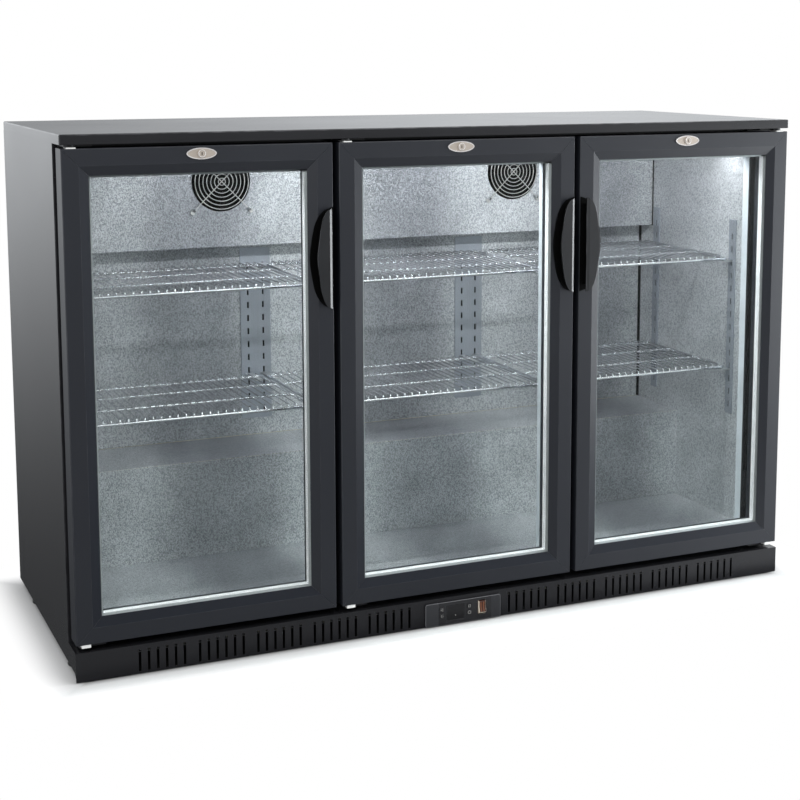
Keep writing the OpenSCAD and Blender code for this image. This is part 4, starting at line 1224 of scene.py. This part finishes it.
    def build_lamp(self) -> None:
        """Build the lamp as a channel, a milky diffuser and two end caps."""
        low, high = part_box("led_lamp")
        x0, x1, split = low.x + self.cap, high.x - self.cap, high.z - self.cap
        channel, milk, caps = Shape(), Shape(), Shape()
        channel.block((x0, low.y, split), (x1, high.y, high.z))
        channel.round_off(0.6 * MM)
        channel.piece("lamp_channel", LAMP_CHANNEL, "cabinet", ["led_lamp"])
        milk.block((x0, low.y + self.milk_inset, low.z), (x1, high.y - self.milk_inset, split))
        milk.round_off(5.0 * MM, 4, lambda edge: all(vert.co.z < low.z + Shape.TINY for vert in edge.verts))
        milk.piece("lamp_diffuser", LAMP_MILK, "cabinet", ["led_lamp"])
        for x in (low.x, x1):
            caps.block((x, low.y, low.z), (x + self.cap, high.y, high.z))
        caps.round_off(1.2 * MM)
        caps.piece("lamp_caps", NYLON, "cabinet", ["led_lamp"])


class Side(Enum):
    """The three doors."""

    LEFT = "left"
    MIDDLE = "middle"
    RIGHT = "right"


@dataclass
class Door:
    """One glazed door with its handle and lock.

    Attributes:
        side: Which door.
        edge: Rounding of the rails.
        rim: Width of the raised rim of the lock plate.
        rim_rise: How far the rim stands proud of the plate.
        rim_edge: Rounding of the rim.
        point: How pointed the lock plate's ends are, from 1 for an ellipse.
        face_ring: Radius and height of the outline of the ring on the barrel's face.
        keyway: Width and height of the key slot.
        keyway_depth: How far the key slot lies before and behind the barrel's face.
        front_skin: Depth of the handle's front that is satin.
        foot: Thickness of the handle's foot.
        ledge: Width of the foot beside the grip's straight edge.
        slope: Width and depth of the slope along the grip's straight edge.
        handle_edge: Rounding of the grip.
        flange: How far the flange of a bush lies behind the door's front.
        flange_edge: Rounding of the flange.
    """

    side: Side
    edge: float = 0.3 * MM
    rim: float = 1.7 * MM
    rim_rise: float = 0.5 * MM
    rim_edge: float = 0.25 * MM
    point: float = 1.08
    face_ring: tuple[Pair, ...] = (
        (5.1 * MM, 0), (6.2 * MM, 0), (6.2 * MM, 0.25 * MM), (5.9 * MM, 0.5 * MM), (5.4 * MM, 0.5 * MM),
        (5.1 * MM, 0.3 * MM), (5.1 * MM, 0),
    )
    keyway: Pair = (1.6 * MM, 4.6 * MM)
    keyway_depth: Pair = (0.1 * MM, 0.4 * MM)
    front_skin: float = 1.1 * MM
    foot: float = 2.5 * MM
    ledge: float = 6.0 * MM
    slope: Pair = (4.8 * MM, 2.3 * MM)
    handle_edge: float = 0.8 * MM
    flange: float = 1.0 * MM
    flange_edge: float = 0.5 * MM

    def build(self) -> None:
        """Build the door's pieces and dress the rest."""
        body = f"door_{self.side.value}"
        rails = soften(f"{body}_frame", DOOR_BLACK, self.edge, body, 20.0)
        # Painted shade: bevels that look right or up get the copy with weaker reflection.
        add_finish(rails, DIMMED_BEVEL, self.is_dimmed_bevel)
        dress(f"{body}_glass", GLASS)
        dress(f"{body}_spacer", SPACER)
        dress(f"{body}_gasket", GASKET)
        self.build_handle(body)
        self.build_bushes(body)
        self.build_plate(body)
        self.build_barrel()

    @staticmethod
    def is_dimmed_bevel(face: bpy.types.MeshPolygon) -> bool:
        """Tell whether a face is a bevel that looks right or up, which gets weaker reflection as painted shade."""
        return face.normal.y < -0.9 and max(face.normal.x, face.normal.z) > 0.3

    def build_handle(self, body: str) -> None:
        """Build the handle with a satin plate, a slope along its straight edge, and its sides and foot painted
        near-black as the shade of the finger gap.
        """
        node = f"{body}_handle"
        low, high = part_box(node)
        right = self.side is Side.RIGHT
        straight, inward = (low.x + self.ledge, 1.0) if right else (high.x - self.ledge, -1.0)
        step = high.y - self.foot - Shape.TINY
        across, deep = self.slope
        shape = Shape.copied(node)
        cut = bmesh.ops.bisect_plane(
            shape.bm, geom=shape.bm.verts[:] + shape.bm.edges[:] + shape.bm.faces[:], dist=1e-6,
            plane_co=(straight, low.y + deep, 0.0), plane_no=(-inward * deep, -across, 0.0), clear_outer=True,
        )["geom_cut"]
        bmesh.ops.edgenet_fill(shape.bm, edges=only(cut, bmesh.types.BMEdge))
        bmesh.ops.remove_doubles(shape.bm, verts=shape.bm.verts, dist=0.05 * MM)
        shape.close()

        def grip(edge: bmesh.types.BMEdge) -> bool:
            """Tell whether an edge lies before the handle's foot."""
            return all(vert.co.y < step for vert in edge.verts)

        def groove(face: bpy.types.MeshPolygon) -> bool:
            """Tell whether a face lies behind the front skin and off the slope, where the painted shade goes."""
            sloped = abs(face.normal.x) > 0.3 and face.normal.y < -0.6
            return face.center.y > low.y + self.front_skin and not sloped

        shape.round_off(self.handle_edge, angle=50.0, clamp=False, pick=grip)
        # Painted shade: faces behind the front skin get the near-black finish, for the shadow in the finger gap under
        # the grip.
        add_finish(shape.piece(f"{node}_edged", HANDLE, body, [node], smooth=24.0), GROOVE_SHADE, groove)

    def build_bushes(self, body: str) -> None:
        """Build the hinge bushes with flanges that reach the door's front."""
        node = f"{body}_bushes"
        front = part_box(f"{body}_frame")[0].y + self.flange
        shape = Shape()
        for low, high in Shape.copied(node).solids():
            shape.block((low.x, front, low.z), high)
        shape.round_off(self.flange_edge)
        shape.piece(f"{node}_flanged", NYLON, body, [node])

    def build_plate(self, body: str) -> None:
        """Build the pointed oval lock plate with a bright raised rim."""
        node = f"{body}_escutcheon"
        low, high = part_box(node)
        middle, half = (low + high) / 2, (high - low) / 2
        shape = Shape()
        turn = Matrix.Rotation(math.radians(90), 4, "X")
        oval = bmesh.ops.create_circle(shape.bm, cap_ends=True, segments=72, radius=1.0, matrix=turn)
        for vert in oval["verts"]:
            rise = math.copysign(abs(vert.co.z) ** self.point, vert.co.z)
            vert.co = (middle.x + half.x * vert.co.x, high.y, middle.z + half.z * rise)
        grown = bmesh.ops.extrude_face_region(shape.bm, geom=shape.bm.faces[:])["geom"]
        bmesh.ops.translate(shape.bm, vec=(0, low.y - high.y, 0), verts=only(grown, bmesh.types.BMVert))
        front = only(grown, bmesh.types.BMFace)
        bmesh.ops.inset_region(
            shape.bm, faces=front, thickness=self.rim, use_boundary=True, use_even_offset=True
        )
        sunk = list(dict.fromkeys(vert for face in front for vert in face.verts))
        bmesh.ops.translate(shape.bm, vec=(0, self.rim_rise, 0), verts=sunk)
        shape.close()
        shape.round_off(self.rim_edge, angle=50.0)
        made = shape.piece(f"lock_plate_{self.side.value}", LOCK_BRIGHT, body, [node])
        depth = low.y + self.rim_rise / 2
        add_finish(made, LOCK_FIELD, lambda face: face.normal.y < -0.99 and face.center.y > depth)

    def build_barrel(self) -> None:
        """Build the barrel's face ring and a dark block that paints the shade in its key slot, and dress the barrel.
        """
        node, body = f"lock_{self.side.value}", f"lock_barrel_{self.side.value}"
        dress(node, LOCK_FIELD)
        low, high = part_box(f"door_{self.side.value}_escutcheon")
        middle, face = (low + high) / 2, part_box(node)[0].y
        ring, slot = Shape(), Shape()
        ring.lathe(self.face_ring, (middle.x, face, middle.z), (0, -1, 0), 32)
        ring.piece(f"lock_face_{self.side.value}", LOCK_BRIGHT, body)
        wide, tall = self.keyway
        before, behind = self.keyway_depth
        slot.block(
            (middle.x - wide / 2, face - before, middle.z - tall / 2),
            (middle.x + wide / 2, face + behind, middle.z + tall / 2),
        )
        slot.piece(f"keyway_{self.side.value}", RECESS_SHADE, body)


@dataclass
class ControlPanel:
    """Plinth with its slotted plate, bezel, display, keys and rocker.

    Attributes:
        plinth_edge: Rounding of the plinth.
        bezel_edge: Rounding of the bezel.
        window_edge: Rounding of the display window.
        rocker_edge: Rounding of the rocker.
        key_edge: Rounding of a key cap.
        mark: Outer and inner radius of a printed mark.
        mark_rise: Height of a printed mark above its key.
        pilot: Radius and height of the outline of the pilot lens.
        pilot_share: Height of the pilot lens, as a share of the display window.
    """

    plinth_edge: float = 0.35 * MM
    bezel_edge: float = 0.9 * MM
    window_edge: float = 0.3 * MM
    rocker_edge: float = 0.8 * MM
    key_edge: float = 0.7 * MM
    mark: Pair = (3.0 * MM, 2.3 * MM)
    mark_rise: float = 0.06 * MM
    pilot: tuple[Pair, ...] = (
        (0, 0), (0.9 * MM, 0), (0.9 * MM, 0.1 * MM), (0.5 * MM, 0.3 * MM), (0, 0.35 * MM),
    )
    pilot_share: float = 0.3

    def build(self) -> None:
        """Build the panel's pieces and dress the rest."""
        soften("plinth", BLACK_STEEL, self.plinth_edge)
        soften("control_bezel", BEZEL, self.bezel_edge, angle=50.0)
        soften("display_window", DISPLAY, self.window_edge)
        soften("rocker_switch", ROCKER, self.rocker_edge, "power_rocker")
        marks = {"up": (3, 90.0), "down": (3, -90.0), "lamp": (4, 45.0), "defrost": (20, 0.0)}
        for name, (sides, turn) in marks.items():
            self.build_key(name, sides, turn)
        self.build_pilot()

    def build_key(self, name: str, sides: int, turn: float) -> None:
        """Build one key cap and its printed mark.

        Args:
            name: What the key does.
            sides: Sides of its mark.
            turn: Turn of the mark in degrees.
        """
        node, body = f"key_{name}", f"button_{name}"
        soften(node, KEY, self.key_edge, body)
        low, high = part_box(node)
        middle = (low + high) / 2
        shape = Shape()
        shape.outline(sides, *self.mark, (middle.x, low.y, middle.z), turn, self.mark_rise)
        shape.piece(f"key_mark_{name}", KEY_MARK, body)

    def build_pilot(self) -> None:
        """Build the small pale pilot lens in the display window."""
        low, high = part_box("display_window")
        middle = (low + high) / 2
        shape = Shape()
        foot = (middle.x, low.y, low.z + self.pilot_share * (high.z - low.z))
        shape.lathe(self.pilot, foot, (0, -1, 0), 16)
        shape.piece("pilot_lens", KEY_MARK, "cabinet")


@dataclass
class MachineSpace:
    """Compressor, condenser and its fan behind the rear grille.

    Attributes:
        shell: Rounding of the compressor's shell.
    """

    shell: float = 2.0 * MM

    def build(self) -> None:
        """Dress the machine's nodes."""
        soften("compressor", COMPRESSOR, self.shell)
        dress("condenser", FINS)
        dress("condenser_rotor", FAN_BLACK)


@dataclass(frozen=True)
class Softbox:
    """An area lamp.

    Attributes:
        name: Name of the lamp.
        place: Its position in metres.
        aim: The point it faces.
        size: Width and height in metres.
        power: Power in watts.
        colour: Colour of the light.
    """

    name: str
    place: Point
    aim: Point
    size: Pair
    power: float
    colour: Colour = WHITE

    def hang(self) -> None:
        """Add the lamp to the scene."""
        data = bpy.data.lights.new(self.name, "AREA")
        data.shape = "RECTANGLE"
        data.size, data.size_y = self.size
        data.energy = self.power
        data.color = self.colour
        made = bpy.data.objects.new(self.name, data)
        made.location = self.place
        made.rotation_euler = (Vector(self.aim) - Vector(self.place)).to_track_quat("-Z", "Y").to_euler()
        bpy.context.scene.collection.objects.link(made)


@dataclass
class Studio:
    """Camera, floor, world and lamps.

    A ramp gives two places or directions and the brightness at each. The floor's bands are distances outside
    the cabinet's foot in metres.

    Attributes:
        eye: Place of the camera in metres.
        turn: Direction of view to the right of straight ahead, in radians.
        tilt: Direction of view downwards, in radians.
        lens: Focal length for a 36 mm wide frame.
        shift: Shift of the frame across and up.
        floor_size: Width of the floor in metres.
        floor_shade: Colour painted on the floor under the cabinet as its shade.
        floor_pale: Colour of the floor around it.
        under: Band in which the floor turns from painted shade to pale.
        lifted: Band in which the floor is lifted towards white.
        lift: Strength of that lift.
        white: Band in which the floor turns white to the camera.
        mirror_tint: Colour of floor and surroundings in a mirror.
        mirror_fade: Distance in metres at which the mirrored floor is half way from near to far brightness.
        mirror_floor: Brightness of the mirrored floor, near and far.
        apron: Place along Y where the floor before the doors starts.
        door_plane: Place of the doors along Y.
        door_spread: How much wider the mirrored floor is per metre before the doors.
        door_lean: How far it lies to the right per metre before the doors.
        near_light: Ramp of the brightest floor over the distance before the doors.
        across_light: Places across the doors between which the floor brightens, and the least brightness.
        left_light: Ramp of the floor far to the left.
        front_right: Ramp of the surroundings before the doors, towards the right.
        front_left: Ramp of the surroundings before the doors, towards the left.
        rear_left: Ramp of the surroundings behind, towards the left.
        rear_right: Ramp of the surroundings behind, towards the right.
        turn_over: Directions along Y between which front turns to rear.
        soft_tint: Colour of the soft light.
        soft: Strength of the soft light.
        lamps: The lamps.
    """

    eye: Point = (-1.13568, -2.68009, 0.99712)
    turn: float = 0.42168
    tilt: float = 0.13756
    lens: float = 71.042
    shift: Pair = (-0.045, -0.16)
    floor_size: float = 80.0
    floor_shade: Colour = (0.02, 0.02, 0.02)
    floor_pale: Colour = (0.80, 0.80, 0.80)
    under: Pair = (-0.03, 0.0)
    lifted: Pair = (-0.01, 0.08)
    lift: float = 0.7
    white: Pair = (0.0, 0.12)
    mirror_tint: Colour = (0.94, 0.97, 1.0)
    mirror_fade: float = 6.0
    mirror_floor: Pair = (0.04, 1.5)
    apron: Pair = (-0.33, -0.27)
    door_plane: float = -0.25
    door_spread: float = 0.4115
    door_lean: float = 0.467
    near_light: Ramp = (1.5, 9.0, 1.05, 2.4)
    across_light: tuple[float, float, float] = (0.0, 0.85, 0.28)
    left_light: Ramp = (-2.4, -1.3, 1.2, 0.0)
    front_right: Ramp = (0.10, 0.75, 0.26, 1.10)
    front_left: Ramp = (-0.95, -0.45, 0.9, 0.0)
    rear_left: Ramp = (-0.10, 0.15, 1.5, 0.57)
    rear_right: Ramp = (0.12, 0.50, 0.0, 0.60)
    turn_over: Pair = (-0.35, 0.45)
    soft_tint: Colour = (0.96, 0.98, 1.0)
    soft: float = 0.42
    lamps: tuple[Softbox, ...] = (
        Softbox("key_softbox", (-2.2, -2.8, 2.8), (0.0, 0.0, 0.45), (2.2, 1.6), 55.0),
        Softbox("top_softbox", (1.1, -1.2, 3.2), (0.1, 0.0, 0.7), (2.6, 1.8), 35.0),
        Softbox("side_softbox", (1.8, -0.74, 0.42), (-0.2, -0.4, 0.42), (0.75, 0.9), 24.0, (0.93, 0.97, 1.0)),
        Softbox("cabin_light", (0.08, -0.15, 0.816), (0.08, 0.02, 0.45), (1.06, 0.018), 4.2, (0.96, 0.975, 1.0)),
    )

    def build(self) -> None:
        """Set up the studio."""
        bpy.context.scene.view_settings.view_transform = "Standard"
        self.place_camera()
        self.lay_floor()
        self.light_world()
        for lamp in self.lamps:
            lamp.hang()

    def place_camera(self) -> None:
        """Place the camera at the viewing angle."""
        level = math.cos(self.tilt)
        ahead = Vector((math.sin(self.turn) * level, math.cos(self.turn) * level, -math.sin(self.tilt)))
        right = Vector((math.cos(self.turn), -math.sin(self.turn), 0.0))
        data = bpy.data.cameras.new("camera")
        data.sensor_width = 36.0
        data.lens = self.lens
        data.shift_x, data.shift_y = self.shift
        data.clip_end = 200.0
        made = bpy.data.objects.new("camera", data)
        view = Matrix((right, right.cross(ahead), -ahead)).transposed()
        made.matrix_world = Matrix.Translation(Vector(self.eye)) @ view.to_4x4()
        bpy.context.scene.collection.objects.link(made)
        bpy.context.scene.camera = made

    def lay_floor(self) -> None:
        """Lay a pale floor that takes the shadow and turns white around it."""
        shape = bmesh.new()
        bmesh.ops.create_grid(shape, x_segments=1, y_segments=1, size=self.floor_size / 2)
        mesh = bpy.data.meshes.new("floor")
        shape.to_mesh(mesh)
        shape.free()
        made = bpy.data.objects.new("floor", mesh)
        bpy.context.scene.collection.objects.link(made)
        material = bpy.data.materials.new("pale floor")
        material.use_nodes = True
        material.cycles.emission_sampling = "NONE"
        mesh.materials.append(material)
        graph = Graph(material.node_tree)
        graph.tree.nodes.remove(graph.tree.nodes["Principled BSDF"])
        place = graph.place()
        path = graph.add("LightPath").outputs
        seen = graph.most(path["Is Camera Ray"], path["Is Transmission Ray"])
        shown = self.shown_floor(graph, place, seen)
        mirrored = graph.glow("Emission", self.mirror_tint, self.mirrored_floor(graph, place))
        final = graph.mixed(path["Is Glossy Ray"], shown, mirrored)
        graph.feed(graph.tree.nodes["Material Output"].inputs["Surface"], final)

    def shown_floor(self, graph: Graph, place: Socket, seen: Socket) -> Socket:
        """Return the floor's shader for all but mirror rays.

        Args:
            graph: The floor's node tree.
            place: Place on the floor.
            seen: Mask of the rays that the camera sees, also through glass.

        Returns:
            The shader.
        """
        x, y, _ = graph.axes(place)
        beside = graph.minus(graph.size(x), CAD_BOX[1][0])
        before = graph.minus(graph.size(y), CAD_BOX[1][1])
        outside = graph.most(beside, before)
        # Painted shade: the floor is coloured dark under the cabinet, where it lies in shadow.
        pale = graph.tint(graph.ease(outside, *self.under), rgba(self.floor_shade), rgba(self.floor_pale))
        matt = graph.add("BsdfDiffuse", {"Color": pale}).outputs[0]
        lift = graph.times(graph.times(seen, graph.ease(outside, *self.lifted)), self.lift)
        near = graph.add("AddShader", {0: matt, 1: graph.glow("Emission", WHITE, lift)}).outputs[0]
        far = graph.times(seen, graph.ease(outside, *self.white))
        return graph.mixed(far, near, graph.glow("Emission", WHITE, 1.0))

    def mirrored_floor(self, graph: Graph, place: Socket) -> Socket:
        """Return how bright the floor is in a mirror.

        The light comes from the right, so before the doors it rises with the place on them that mirrors a point.

        Args:
            graph: The floor's node tree.
            place: Place on the floor.

        Returns:
            The brightness.
        """
        x, y, _ = graph.axes(place)
        away = graph.add("VectorMath", {0: place}, operation="LENGTH").outputs["Value"]
        fade = graph.over(away, graph.plus(away, self.mirror_fade))
        around = graph.ease(fade, 0.0, 1.0, *self.mirror_floor)
        ahead = graph.minus(self.door_plane, y)
        spread = graph.plus(graph.times(ahead, self.door_spread), 1.0)
        across = graph.over(graph.minus(x, graph.times(ahead, self.door_lean)), spread)
        right = graph.ease(across, *self.across_light, graph.ease(ahead, *self.near_light))
        front = graph.plus(right, graph.ease(x, *self.left_light))
        apron = graph.ease(y, *self.apron, 1.0, 0.0)
        return graph.add("Mix", {0: apron, 2: around, 3: front}).outputs[0]

    def light_world(self) -> None:
        """Light the studio softly, with a white backdrop for camera and glass and shaded walls for mirrors."""
        world = bpy.data.worlds.new("studio")
        world.use_nodes = True
        world.cycles.sampling_method = "NONE"
        bpy.context.scene.world = world
        graph = Graph(world.node_tree)
        path = graph.add("LightPath").outputs
        x, y, _ = graph.axes(graph.add("TexCoord").outputs["Generated"])
        before = graph.plus(graph.ease(x, *self.front_right), graph.ease(x, *self.front_left))
        behind = graph.plus(graph.ease(x, *self.rear_left), graph.ease(x, *self.rear_right))
        walls = graph.add("Mix", {0: graph.ease(y, *self.turn_over), 2: before, 3: behind}).outputs[0]
        soft = graph.glow("Background", self.soft_tint, self.soft)
        glossy = graph.glow("Background", self.mirror_tint, walls)
        seen = graph.most(path["Is Camera Ray"], path["Is Transmission Ray"])
        unseen = graph.mixed(path["Is Glossy Ray"], soft, glossy)
        final = graph.mixed(seen, unseen, graph.glow("Background", WHITE, 1.0))
        graph.feed(graph.tree.nodes["World Output"].inputs["Surface"], final)


def main() -> None:
    """Build the studio and every sub-assembly in order."""
    logging.basicConfig(level=logging.INFO, format="%(name)s %(message)s")
    Studio().build()
    Cabinet().build()
    Cabin().build()
    for side in Side:
        Door(side).build()
    ControlPanel().build()
    MachineSpace().build()


if __name__ == "__main__":
    main()
